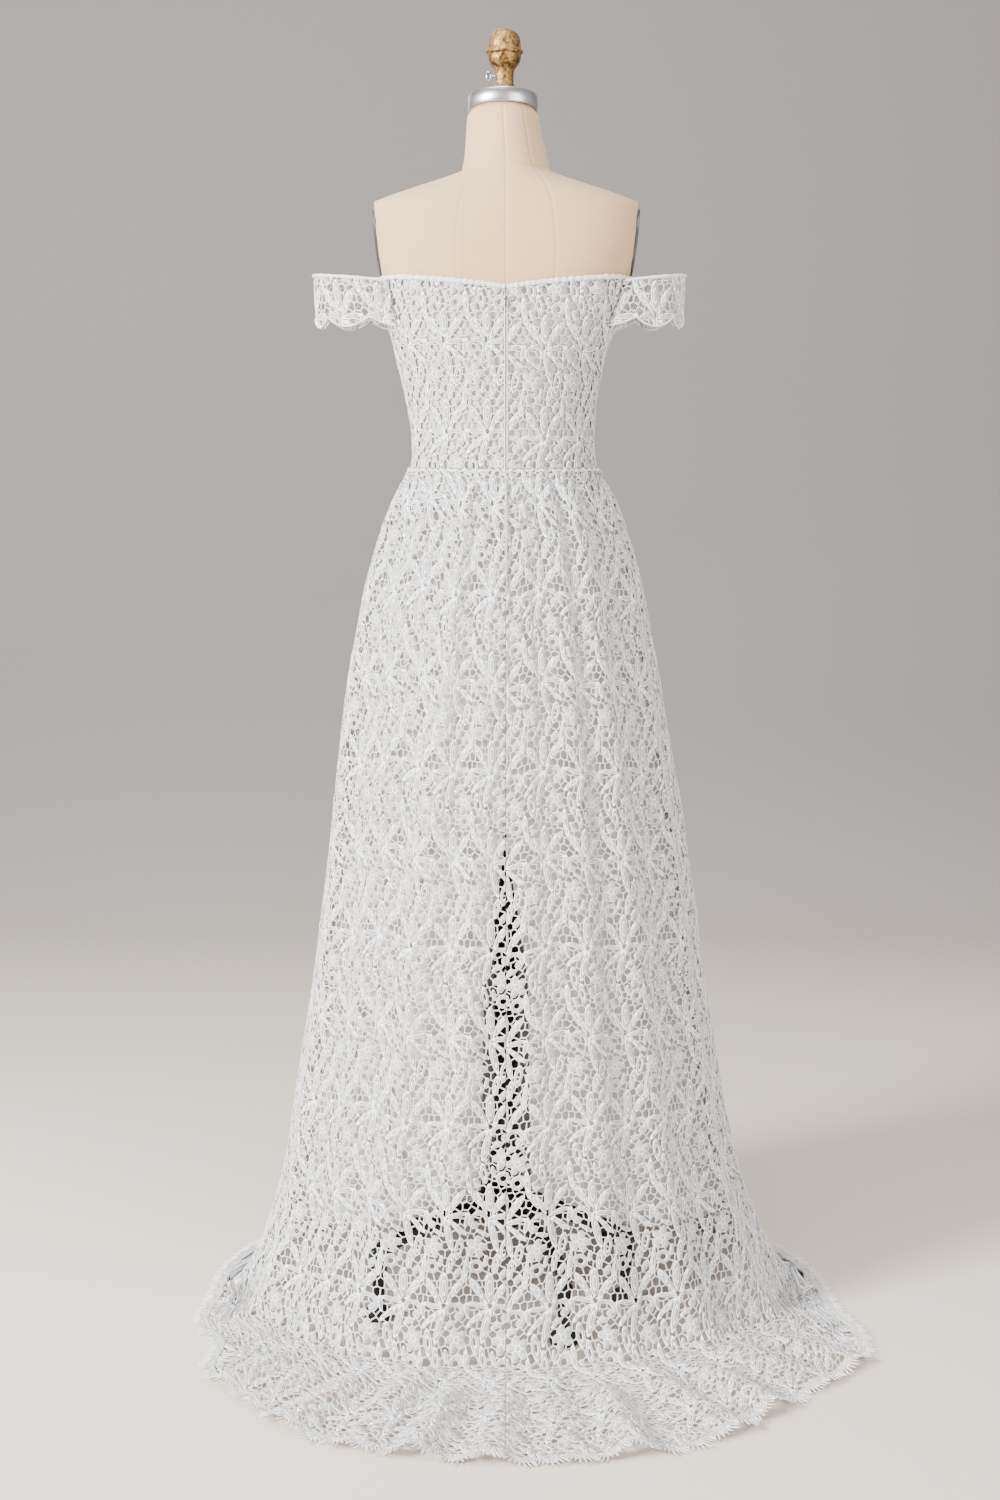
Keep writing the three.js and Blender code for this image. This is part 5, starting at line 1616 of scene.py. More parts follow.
@dataclass
class Bodice:
    """Lace bodice with its lining and corded neckline."""

    finishes: Finishes
    cord_radius: float = 2.6
    cord_lift: float = 1.8
    cord_flatten: float = 1.3    # the rolled edge is taller than it is thick
    lining_setback: float = 4.2
    lining_drop: float = 0.3
    lining_wall: float = 1.0
    back_gap: float = 0.41       # degrees on each side of the zip
    seam_gap: float = 0.07
    lace_offset: tuple[float, float] = (0.42, -0.36)      # where the lace was cut, in repeats
    right_offset: tuple[float, float] = (0.12, -0.4)
    cord_seat: float = 0.8
    cord_gap: float = 0.4        # degrees on each side of the zip
    cord_waves: tuple[Ripple, Ripple, Ripple] = (Ripple(0.17, 1.1), Ripple(1.0, 0.37), Ripple(0.16, 1.7))

    def build(self) -> None:
        """Make the lace panels, the lining and the corded edge."""
        self.form = BodiceForm()
        chart = self.finishes.chart
        spans = {
            "bodice_back_left": (self.back_gap, 90 - self.seam_gap),
            "bodice_back_right": (-90 + self.seam_gap, -self.back_gap),
            "bodice_front": (90 + self.seam_gap, 270 - self.seam_gap),
        }
        for node, (start, end) in spans.items():
            surface = BodiceForm(start, end)
            lengths = surface.along / surface.repeat_width(np.zeros(1))
            offset = self.right_offset if node == "bodice_back_right" else self.lace_offset
            across = (lengths.min() - 1, lengths.max() + 1)
            panel = LacePanel(node + "_lace", surface, chart, offset, across, (-0.5, 1.5))
            panel.build(self.finishes.lace, (node,), "bodice_lining")
        self._lining()
        self._cord()

    def _lining(self) -> None:
        """A smooth tube inside the lace, open at the zip."""
        angles = np.linspace(self.back_gap, 360 - self.back_gap, 121)
        levels = np.linspace(1, 0, 15)
        rings = []
        for inset in (self.lining_setback, self.lining_setback + self.lining_wall):
            top = self.form.neckline(angles) - self.lining_drop
            z = WAIST_Z + (top[None] - WAIST_Z) * levels[:, None]
            rings.append(polar(self.form.radius(angles[None], z) - inset, angles[None], z))
        piece = shell_piece("bodice_lining_cloth", rings[0], rings[1])
        dress_piece(piece, self.finishes.lining, ("bodice_lining",))

    def _cord(self) -> None:
        """A rolled, twisted edge along the top, slightly uneven as it is sewn."""
        angles = np.linspace(self.cord_gap, 360 - self.cord_gap, 540)
        height = self.form.neckline(angles)
        middle = polar(self.form.radius(angles, height) - self.cord_lift, angles,
                       height + self.cord_radius + self.cord_seat)
        long, longer, short = (wave.at(angles) for wave in self.cord_waves)
        swell = self.cord_radius * (1 + long * longer + short)
        # The cord tapers over its last degrees, where it is turned in at the zip
        swell *= np.minimum(1, np.minimum(angles, 360 - angles) / 1.4 + 0.35)
        points, faces = tube(middle, swell, 8, flatten=self.cord_flatten)
        piece = outward(new_piece("neckline_rolled_edge", points, faces))
        dress_piece(piece, self.finishes.cord, ("neckline_cord",))


def shell_piece(name: str, outer: np.ndarray, inner: np.ndarray) -> bpy.types.Object:
    """Make a closed thin wall from grids of its outer and inner points.

    Args:
        name: the object's name.
        outer: rows and columns of outer points, rows down and columns from the centre back towards +X.
        inner: the same for the inner face.

    Returns:
        The object.
    """
    rows, columns, _ = outer.shape
    start = rows * columns
    grid = np.arange(start).reshape(rows, columns)
    faces = []
    for j in range(rows - 1):
        for i in range(columns - 1):
            quad = (grid[j, i], grid[j, i + 1], grid[j + 1, i + 1], grid[j + 1, i])
            faces += [quad, tuple(corner + start for corner in reversed(quad))]
    border = [*grid[0], *grid[1:, -1], *grid[-1, -2::-1], *grid[-2:0:-1, 0]]
    for a, b in zip(border, border[1:] + border[:1]):
        faces.append((b, a, a + start, b + start))
    return new_piece(name, np.concatenate([outer.reshape(-1, 3), inner.reshape(-1, 3)]), faces)


@dataclass
class Sleeves:
    """Off-the-shoulder lace bands."""

    finishes: Finishes
    reach_left: float = 260.0
    reach_right: float = 243.0
    lace_offset: tuple[float, float] = (0.3, -0.21)
    across: tuple[float, float] = (-1, 8)                 # repeats that are laid, before they are trimmed
    down: tuple[float, float] = (-0.5, 0.8)
    cord_ends: float = 0.01      # share of the band that its cords leave free at each end
    top_cord: float = 2.1
    lower_cord: float = 1.1
    cord_seat: float = 0.6
    cord_waves: tuple[Ripple, Ripple] = (Ripple(0.16, 61), Ripple(1.0, 23))

    def build(self) -> None:
        """Make both bands."""
        for side, reach in ((Side.LEFT, self.reach_left), (Side.RIGHT, self.reach_right)):
            form = SleeveForm(side=side, reach=reach)
            node = f"sleeve_{side.word}"
            panel = LacePanel(node + "_lace", form, self.finishes.chart, self.lace_offset,
                              self.across, self.down)
            panel.build(self.finishes.lace, (node,), "bodice_lining")
            places = np.linspace(self.cord_ends, 1 - self.cord_ends, 160)
            lowest = form.row_at(places, np.full(len(places), 2 * form.drop))[0]
            for edge, down, radius in (("top", 0.0, self.top_cord), ("lower", lowest, self.lower_cord)):
                waves = [wave.at(places) for wave in self.cord_waves]
                middle = form.place(places, down) + [0, 0, self.cord_seat]
                points, faces = tube(middle, radius * (1 + waves[0] * waves[1]), 8)
                cord = outward(new_piece(f"{node}_{edge}_cord", points, faces))
                dress_piece(cord, self.finishes.cord)


@dataclass
class Skirt:
    """Lace skirt with its train, its lining and the eyelash edge of the hem."""

    finishes: Finishes
    half_gap: float = 0.1        # degrees on each side of the centre seams
    parts: tuple[tuple[float, float], ...] = ((-1.0, 1.8), (1.8, 3.8), (3.8, 7.0))
    lining_top: float = 1157.4
    lining_inset: float = 13.0
    lining_setback: float = 4.2
    lining_wall: float = 1.0
    lining_side: float = 122.0
    lining_right_rise: float = 8.0
    lining_back_rise: float = 92.0
    lining_spread: float = 34.0
    slit_top: float = 660.0
    slit_full: float = 400.0
    slit_half: float = 26.0
    picot_pitch: float = 4.8
    border_depth: float = 7.0
    border_lobe: float = 6.0
    border_cord: float = 0.9
    border_rows: int = 2
    border_repeat: float = 0.5   # lace repeats to a scallop
    border_share: float = 0.11   # share of a repeat's height that the border shows
    border_wall: float = 0.9
    border_rise: float = 0.5
    border_edge: float = 0.2     # rise of its two edges
    border_twist: Ripple = Ripple(1.0, 310)               # turns of the border's cord
    left_offset: tuple[float, float] = (0.35, -0.2)       # where the lace was cut, in repeats
    right_offset: tuple[float, float] = (0.05, -0.23)
    lining_flare: float = 22.0   # what the lining gains on the lace down to the floor
    lining_folds: Ripple = Ripple(2.2, 19, 1.5)
    lining_follow: float = 0.35  # share of the lace's folds that the lining takes
    lining_cut: float = 0.78     # area of the flared cut against its width by its height
    ridge_wave: Ripple = Ripple(1.1, 61, 0.0, 1.5, 7)
    ridge_depth: Ripple = Ripple(0.7, 83)
    ridge_swell: Ripple = Ripple(0.6, 47, 0.0, 2.0, 5)
    ridge_drop: float = 2.2
    ridge_radius: float = 1.7
    # An eyelash picot, from its foot in the hem to its tip: the line of its middle, and how thick it is
    lash_line: tuple[tuple[float, float, float], ...] = (
        (0.0, 0.0, -1.5), (0.0, 0.6, 4.0), (0.0, 0.8, 9.5), (0.0, 0.0, 13.5))
    lash_thick: tuple[float, ...] = (1.0, 1.35, 1.2, 0.5)
    lash_uneven: float = 0.45

    def build(self) -> None:
        """Make the two halves in bands, the lining and the hem's edge."""
        for side in Side:
            self._half(side)
        self._lining()
        self._waist()
        self._edge()

    def _half(self, side: Side) -> None:
        """Lay lace on one half, in bands that meet between two rows of the repeat."""
        start, end = (self.half_gap, 180 - self.half_gap)
        surface = SkirtForm(start, end) if side is Side.LEFT else SkirtForm(-end, -start)
        node = f"skirt_{side.word}"
        most = float(np.abs(surface.along).max()) / surface.repeat_top
        across = (-1.5, most + 1) if side is Side.LEFT else (-most - 1, 1.5)
        offset = self.left_offset if side is Side.LEFT else self.right_offset
        for number, reach in enumerate(self.parts, 1):
            panel = LacePanel(f"{node}_lace_{number}", surface, self.finishes.chart, offset, across, reach)
            panel.build(self.finishes.lace, (node,) if number == 1 else (), "skirt_lining")

    def _lining(self) -> None:
        """A plain flared tube, parted at the centre back."""
        form = SkirtForm()
        rows, columns = 40, 150
        down = np.linspace(0, 1, rows)[:, None]
        rough = self.lining_top + (self.lining_side - self.lining_top) * down
        opening = self.slit_half * (1 - smoothstep(self.slit_full, self.slit_top, rough))
        gap = np.degrees((0.3 + opening) / 180)
        angles = gap + (360 - 2 * gap) * np.linspace(0, 1, columns)[None]
        back = bump_curve(turn(angles, 0) / self.lining_spread)
        hem = self.lining_side + np.where(turn(angles, 0) < 0, self.lining_right_rise, 0) * (1 - back)
        hem = hem + self.lining_back_rise * back
        z = self.lining_top + (hem - self.lining_top) * down
        settle = smoothstep(WAIST_Z, WAIST_Z - 160, z)
        fall = 1 - z / WAIST_Z
        inset = self.lining_setback + (self.lining_inset - self.lining_setback) * settle
        inset = inset + self.lining_flare * fall
        own = self.lining_folds.at(np.radians(angles)) * fall
        fold = self.lining_follow * form.fold_rise(angles, z) + own
        radius = form.sections.radius(z, angles) - inset + fold
        outer = polar(radius, angles, z)
        piece = shell_piece("skirt_lining_cloth", outer, polar(radius - self.lining_wall, angles, z))
        dress_piece(piece, self.finishes.lining, ("skirt_lining",))

    def _waist(self) -> None:
        """The gathered edge of the skirt, that shows as a small uneven ridge under the bodice."""
        form = SkirtForm()
        angles = np.linspace(0.35, 359.65, 480)
        turned = np.radians(angles)
        z = WAIST_Z - self.ridge_drop + self.ridge_wave.at(turned)
        radius = form.radius(angles, np.full(len(angles), WAIST_Z)) + self.ridge_depth.at(turned)
        points, faces = tube(polar(radius, angles, z), self.ridge_radius + self.ridge_swell.at(turned), 6)
        dress_piece(outward(new_piece("waist_gathered_edge", points, faces)), self.finishes.cord)

    def _border(self, form: SkirtForm) -> None:
        """The dense scalloped border: rows of heavy cord side by side."""
        angles = np.arange(0, 360, 0.6)
        wave = np.abs(np.cos(np.pi * np.interp(turn(angles, 0), form.hem_angles, form.scallops)))
        depth = np.linspace(0, 1, 13)[:, None]
        inset = depth * (self.border_depth + self.border_lobe * wave[None])
        hem, length = form.hem_share(angles)[None], form.pool_length(angles)[None]
        around = np.broadcast_to(angles[None], inset.shape)
        middle = form.place(around, 1 + hem - inset / length)
        twist = 0.75 + 0.25 * self.border_twist.at(np.radians(around))
        rows = np.abs(np.sin(np.pi * self.border_rows * depth))
        rise = self.border_rise + self.border_cord * rows * twist
        rise[0] = rise[-1] = self.border_edge
        outer = middle + rise[..., None] * [0, 0, 1]
        inner = middle - [0, 0, self.border_wall]
        inner[..., 2] = np.maximum(inner[..., 2], ON_FLOOR)
        points, faces = rings_mesh(np.concatenate([outer[::-1], inner]), loop=True)
        piece = new_piece("hem_scalloped_border", points, [face[::-1] for face in faces])
        along = np.interp(turn(angles, 0), form.hem_angles, form.scallops) * self.border_repeat
        down = np.concatenate([1 - depth[:, 0], depth[:, 0]]) * self.border_share
        set_uv(piece, np.stack(np.broadcast_arrays(along[None], down[:, None]), -1).reshape(-1, 2))
        dress_piece(piece, self.finishes.lace)
        log.info("hem border: %d columns, %.0f scallops", len(angles), form.scallops[-1])

    def _edge(self) -> None:
        """A corded border and eyelash picots along the scalloped hem."""
        form = SkirtForm()
        self._border(form)
        angles = np.arange(0, 360, 0.4)
        hem = form.hem_share(angles)
        path = form.place(angles, 1 + hem)
        inner = form.place(angles, 1 + hem - 2.0 / form.pool_length(angles))
        path[:, 2] += 1.0
        ways = path - inner
        ways[:, 2] = 0.0
        ways /= np.linalg.norm(ways, axis=1, keepdims=True)
        lash = tube(np.array(self.lash_line), np.array(self.lash_thick), 4, up=(0, 1, 0))
        rule = Rule("hem_picots").along_path(seed=3)
        picots = rule.run("hem_eyelash_picots", path, ways, lash, self.picot_pitch, self.finishes.cord,
                          uneven=self.lash_uneven, loop=True)
        dress_piece(picots, self.finishes.cord)


@dataclass
class ZipClosure:
    """Invisible zip at the centre back, its slider, pull tab, and the hook and eye above it."""

    finishes: Finishes
    form: BodiceForm
    top: float = 1380.0
    bottom: float = 1027.0
    setback: float = 2.0
    tape_half: float = 8.0
    tape_wall: float = 0.6
    tape_setback: float = 2.6
    tape_skirt_slack: float = 2.0
    coil_pitch: float = 1.9
    edge_wall: float = 1.0
    edge_share: tuple[float, ...] = (0, 0.2, 0.5, 0.8, 1.0)       # places across a folded edge
    edge_rise: float = 0.75
    edge_wave: Ripple = Ripple(0.12, 1.9)

    def build(self) -> None:
        """Make the tapes, the coil, the slider, the pull and the hook and eye."""
        skirt = SkirtForm()
        self._tape("zip_tape_bodice", 1388, WAIST_Z + 1, self.form, 0.0)
        self._tape("zip_tape_skirt", WAIST_Z - 16, 1024, skirt, self.tape_skirt_slack)
        self._coil()
        self._edges("bodice", 1390.5, WAIST_Z + 0.4, 0.85, 1.5, self.form)
        self._edges("skirt", WAIST_Z - 3.0, 1018.0, 0.25, 1.1, skirt)
        self._slider()
        self._pull()
        self._hook_and_eye()

    def _tape(self, node: str, high: float, low: float, form: BodiceForm | SkirtForm, slack: float) -> None:
        """A woven tape behind the opening, between two heights."""
        z = np.linspace(high, low, 40)[:, None]
        middle = form.radius(np.zeros_like(z), z)
        angles = np.linspace(-1, 1, 7)[None] * np.degrees(self.tape_half / middle)
        radius = form.radius(angles, z) - self.tape_setback - slack
        wall = (polar(radius, angles, z), polar(radius - self.tape_wall, angles, z))
        piece = shell_piece(node + "_cloth", *wall)
        dress_piece(piece, self.finishes.tape, (node,))

    def _coil(self) -> None:
        """Small moulded teeth down the middle of the bodice tape."""
        z = np.linspace(self.top - 6, WAIST_Z + 2, 80)
        path = polar(self.form.radius(0 * z, z) - self.setback, 0 * z, z)
        ways = np.tile([0.0, 1.0, 0.0], (len(path), 1))
        line = [(0.0, -1.5, 0.0), (0.0, -0.5, 0.55), (0.0, 0.5, 0.55), (0.0, 1.5, 0.0)]
        tooth = tube(np.array(line), 0.42, 5, up=(1, 0, 0))
        rule = Rule("zip_teeth").along_path(seed=5)
        teeth = rule.run("zip_coil", path, ways, tooth, self.coil_pitch, self.finishes.coil)
        dress_piece(teeth, self.finishes.coil)

    def _edges(self, name: str, high: float, low: float, gap: float, width: float,
               form: BodiceForm | SkirtForm) -> None:
        """Folded edges of the lace on both sides of the zip, or of the seam below it.

        Args:
            name: start of the pieces' names.
            high: height of their upper ends.
            low: height of their lower ends.
            gap: distance of each from the middle.
            width: width of each.
            form: the cloth that they are on.
        """
        z = np.linspace(high, low, 80)[:, None]
        share = np.array(self.edge_share)[None]
        base = form.radius(np.zeros_like(z), z)
        spread = np.degrees((gap + width * share) / base)
        # A rounded cross section that is nearly flat on top, twisted a little along its length
        section = np.sqrt(np.clip(1 - (2 * share - 1) ** 4, 0.02, 1))
        rise = self.edge_rise * section + self.edge_wave.at(z)
        for side in Side:
            angles = spread if side is Side.LEFT else -spread[:, ::-1]
            radius = form.radius(angles, z)
            wall = (polar(radius + rise, angles, z), polar(radius - self.edge_wall, angles, z))
            piece = shell_piece(f"{name}_folded_edge_{side.word}", *wall)
            dress_piece(piece, self.finishes.cord)

    def _slider(self) -> None:
        """A small channel-shaped slider with rounded edges."""
        low, high = (np.array(corner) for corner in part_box("zip_slider"))
        self.slider = bevelled_box("zip_slider_body", low, high, 0.5 * MM)
        dress_piece(self.slider, self.finishes.chrome, ("zip_slider",))

    def _pull(self) -> None:
        """A flat teardrop tab that hangs from the slider."""
        low, high = (np.array(corner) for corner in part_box("zip_pull"))
        centre = (low + high) / 2
        size = high - low
        angles = np.radians(np.arange(0, 360, 10))
        width = np.where(np.cos(angles) > 0, 0.32 + 0.18 * (1 - np.cos(angles)), 0.5)
        outline = np.stack([np.sin(angles) * width * size[0], np.cos(angles) * 0.5 * size[2]], 1)
        rings = []
        for share, depth in ((0.82, 0.5), (1.0, 0.32), (1.0, -0.32), (0.82, -0.5)):
            across, up = outline[:, 0] * share, outline[:, 1] * share
            rings.append(np.stack([across, np.full(len(outline), depth * size[1]), up], 1) + centre)
        points, faces = rings_mesh(np.stack(rings))
        piece = outward(new_piece("zip_pull_tab", (points - AXIS) / MM, faces))
        dress_piece(sharpened(piece), self.finishes.chrome, ("zip_pull",), "zip_pull")

    def _hook_and_eye(self) -> None:
        """A bent wire eye and its hook."""
        low, high = (np.array(corner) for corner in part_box("hook_and_eye"))
        centre = ((low + high) / 2 - AXIS) / MM
        around = np.radians(np.arange(0, 360, 12))
        eye = np.stack([2.3 * np.sin(around), 0 * around, 2.3 * np.cos(around)], 1) + centre
        hook = np.array([
            (-3.4, 0.0, 1.2), (-2.2, 0.4, 1.0), (-0.8, 0.9, 0.6), (0.2, 0.9, 0.2), (0.3, 0.2, 0.0),
            (-0.9, -0.1, -0.1), (-2.4, 0.0, -0.6), (-3.4, 0.0, -1.0),
        ]) + centre
        parts = [tube(eye, 0.45, 8, up=(0, 1, 0), loop=True), tube(hook, 0.4, 8, up=(0, 1, 0.01))]
        piece = outward(new_piece("wire_hook_and_eye", *joined(parts)))
        dress_piece(piece, self.finishes.chrome, ("hook_and_eye",))


def bevelled_box(name: str, low: np.ndarray, high: np.ndarray, edge: float) -> bpy.types.Object:
    """A box with rounded edges between two corners in metres."""
    solid = bmesh.new()
    bmesh.ops.create_cube(solid, size=1.0)
    bmesh.ops.scale(solid, vec=Vector(high - low), verts=solid.verts)
    bmesh.ops.bevel(solid, geom=solid.edges[:], offset=edge, segments=3, affect="EDGES", profile=0.5)
    bmesh.ops.translate(solid, vec=Vector((low + high) / 2), verts=solid.verts)
    mesh = bpy.data.meshes.new(name)
    solid.to_mesh(mesh)
    solid.free()
    return linked(name, mesh)


# Radius and height of the finial above its foot, from the crown down
FINIAL_PROFILE = [
    (1.0, 83.0), (5.0, 82.6), (9.0, 81.6), (13.0, 79.6), (16.0, 77.4), (18.6, 74.4), (20.4, 71.0),
    (21.3, 66.5), (21.9, 61.0), (22.2, 56.2), (23.2, 55.4), (24.6, 54.2), (25.0, 52.4), (24.4, 50.6),
    (22.6, 49.8), (22.4, 48.6), (22.0, 44.5), (20.8, 40.0), (18.6, 36.0), (16.0, 33.0), (13.7, 30.0),
    (12.5, 26.0), (12.1, 21.0), (12.1, 14.0), (12.5, 10.5), (13.8, 8.4), (16.6, 6.6), (17.4, 4.4),
    (17.4, 2.0), (16.8, 0.2),
]


@dataclass
class DressForm:
    """Canvas-covered body without limbs, its neck cap, finial, set screw and arm plates."""

    finishes: Finishes
    neck_tilt: float = 9.0
    neck_lean: float = 4.0
    tilt_from: float = 1560.0
    neck_top: float = 1633.0
    plate_bottom: float = 1415.0
    plate_top: float = 1507.0
    plate_half: float = 46.0
    plate_thick: float = 3.6
    plate_lean: float = 10.2
    plate_inner: float = 166.6
    seams: tuple[float, ...] = (0.0, 34.0, -34.0, 180.0, 146.0, -146.0)       # upright seams, by angle
    neck_seam: float = 1556.0
    seam_depth: float = 0.9
    seam_half: float = 1.3
    cap_radius: float = 46.8
    cap_height: float = 19.0
    cap_seat: float = 1633.4
    finial_foot: float = 1657.9
    screw_z: float = 1679.5
    screw_start: float = 12.9
    sections: Sections = field(default_factory=lambda: Sections([
        (1633, 43, 43, 43, 43, 2), (1630, 47, 47, 46, 46, 2), (1603, 51, 51, 51, 48, 2),
        (1572, 56, 56, 58, 46, 2), (1554, 61, 61, 68, 47, 2), (1541, 98, 98, 78, 58, 2),
        (1525, 146, 146, 87, 76, 2.2),
        (1509, 184, 184, 92, 90, 2.4), (1484, 184, 184, 97, 104, 2.6), (1452, 180, 180, 100, 114, 2.8),
        (1424, 173, 173, 100, 118, 2.7), (1404, 163, 163.5, 99, 117, 2.6), (1375, 157.5, 153.5, 99, 125, 2.4),
        (1345, 150, 141, 99, 130, 2.2), (1320, 143, 129, 98, 129, 2.1), (1280, 134, 120, 94, 119, 2),
        (1240, 125, 113, 89, 107, 2), (1206, 120, 111, 86, 99, 2), (1176, 119, 112, 85, 94, 2),
        (1140, 124, 119, 90, 95, 2), (1080, 142, 138, 106, 99, 2), (1000, 158, 156, 122, 104, 2),
        (920, 161, 160, 124, 104, 2), (860, 152, 152, 112, 95, 2), (838, 134, 134, 96, 82, 2),
    ]))

    def build(self) -> None:
        """Make every piece of the form."""
        self._body()
        self._cap()
        self._finial()
        self._screw()
        for side in Side:
            self._plate(side)

    def _tilted(self, points: np.ndarray) -> np.ndarray:
        """Lean the neck as the form's maker set it."""
        share = smoothstep(self.tilt_from, self.neck_top, points[..., 2])
        moved = points.copy()
        moved[..., 2] += points[..., 1] * math.tan(math.radians(self.neck_tilt)) * share
        moved[..., 0] += self.neck_lean * share
        return moved

    def _body(self) -> None:
        """A smooth body with sunk seams at the centre back, over the shoulder blades and round the neck."""
        offsets = np.array([-2.4, -1.6, -0.8, 0.0, 0.8, 1.6, 2.4])
        near_seams = [turn(seam + offsets, 0) for seam in self.seams]
        angles = np.unique(np.concatenate([np.arange(-180, 180, 5.0), *near_seams]))
        neck = self.neck_seam + np.arange(-2.4, 2.5, 0.8)
        levels = np.unique(np.concatenate([np.linspace(838, 1633, 100), neck]))[::-1]
        z, angle = np.meshgrid(levels, angles, indexing="ij")
        radius = self.sections.radius(z, angle)
        sunk = np.zeros_like(z)
        for seam in self.seams:
            sunk = np.maximum(sunk, bump_curve(np.radians(turn(angle, seam)) * radius / self.seam_half))
        sunk = np.maximum(sunk * (z < 1631), bump_curve((z - self.neck_seam) / self.seam_half))
        points = polar(radius - self.seam_depth * sunk, angle, z)
        plate_height = self.plate_top - self.plate_bottom
        plane = self.plate_inner + self.plate_lean * (z - self.plate_bottom) / plate_height
        flat = np.sign(points[..., 0]) * np.minimum(np.abs(points[..., 0]), plane)
        points[..., 0] = np.where(z > self.plate_bottom - 20, flat, points[..., 0])
        piece = outward(new_piece("form_body_canvas", *rings_mesh(self._tilted(points))))
        dress_piece(piece, self.finishes.canvas, ("form_body",))

    def _cap(self) -> None:
        """A spun band with a low boss on top."""
        top = self.cap_seat + self.cap_height
        profile = [(18.0, 1657.4), (19.0, 1656.6), (19.4, top + 1.2), (21.5, top + 0.1), (44.2, top),
                   (45.9, top - 0.6), (46.8, top - 2.2), (46.8, self.cap_seat + 1.2), (46.3, self.cap_seat)]
        angles = np.arange(0, 360, 3.75)
        rings = []
        for radius, height in profile:
            ring = polar(radius, angles, height)
            tilt = smoothstep(19.2, 21.6, radius)
            ring[:, 2] += ring[:, 1] * math.tan(math.radians(self.neck_tilt)) * tilt
            ring[:, 0] += self.neck_lean * (0.5 + 0.5 * tilt)
            rings.append(ring)
        piece = outward(new_piece("neck_cap_band", *rings_mesh(np.stack(rings))))
        dress_piece(sharpened(piece), self.finishes.aluminium, ("neck_cap",))

    def _finial(self) -> None:
        """A cast finial: foot, waist, cup, overhanging rim and domed crown."""
        profile = [(radius, self.finial_foot + height) for radius, height in FINIAL_PROFILE]
        points, faces = lathe(profile, 72, (self.neck_lean / 2, 0.0))
        piece = outward(new_piece("finial_casting", points, faces))
        dress_piece(piece, self.finishes.brass, ("finial",))

    def _screw(self) -> None:
        """A threaded shank with a collar and a flat oval thumb head."""
        start = self.screw_start + self.neck_lean / 2
        along = np.linspace(0, 4.1, 40)
        radius = 2.0 + 0.25 * np.sin(2 * np.pi * along / 0.9)
        shank = tube(np.stack([start + along, 0 * along, np.full(40, self.screw_z)], 1), radius, 16)
        head_x = np.linspace(4.1, 12.1, 22)
        share = (head_x - 4.1) / 8.0
        flare = 0.35 + 0.65 * smoothstep(0, 0.35, share)
        half = np.where(share < 1, np.sqrt(np.clip(1 - (2 * share - 1) ** 4, 0.02, 1)), 0.02) * flare
        points, faces = tube(np.stack([start + head_x, 0 * head_x, np.full(22, self.screw_z)], 1), half, 24)
        points[:, 1] *= 1.3
        points[:, 2] = self.screw_z + (points[:, 2] - self.screw_z) * 6.2
        piece = outward(new_piece("finial_thumb_screw", *joined([shank, (points, faces)])))
        dress_piece(piece, self.finishes.chrome, ("finial_screw",), "finial_screw")

    def _plate(self, side: Side) -> None:
        """An oval steel plate with an eased edge and a raised middle screw."""
        angles = np.radians(np.arange(0, 360, 5))
        half_height = (self.plate_top - self.plate_bottom) / 2
        lean = math.atan(self.plate_lean / (2 * half_height))
        rings = []
        # Share of the outline, and how far out of the plate's middle, as a share of its thickness
        profile = ((0.985, -0.5), (1.0, -0.35), (1.0, 0.25), (0.985, 0.42), (0.96, 0.5), (0.16, 0.5),
                   (0.15, 0.62), (0.11, 0.86), (0.03, 0.9))
        for share, depth in profile:
            out = np.full(len(angles), depth * self.plate_thick)
            rings.append(np.stack([out, np.cos(angles) * self.plate_half * share,
                                   np.sin(angles) * half_height * share], 1))
        points, faces = rings_mesh(np.stack(rings))
        c, s = math.cos(lean), math.sin(lean)
        x, z = points[:, 0] * c + points[:, 2] * s, points[:, 2] * c - points[:, 0] * s
        middle = self.plate_inner + self.plate_lean / 2 + self.plate_thick / 2 + 0.3
        middle_z = (self.plate_top + self.plate_bottom) / 2
        placed = np.stack([side.value * (x + middle), points[:, 1], z + middle_z], 1)
        piece = outward(new_piece(f"arm_plate_{side.word}_steel", placed, faces))
        dress_piece(sharpened(piece), self.finishes.steel, (f"arm_plate_{side.word}",))


# Radius and height of the stand's turned castings, from the top down
HUB_PROFILE = [
    (22.0, 186), (23.6, 185), (24.0, 182), (24.0, 152), (25.2, 149), (30, 145), (36, 140), (40.5, 135),
    (43, 128), (43, 94), (41.6, 91.4), (37, 87.4), (34, 84.6), (32, 84),
]
PAD_PROFILE = [
    (10.4, 80.2), (11.8, 79.2), (11.9, 67), (9.2, 62), (8.0, 60), (8.0, 20), (9.2, 17), (16.5, 13.5),
    (19.6, 9), (19.4, 2.4), (18.6, 0.6), (17.6, 0.0),
]


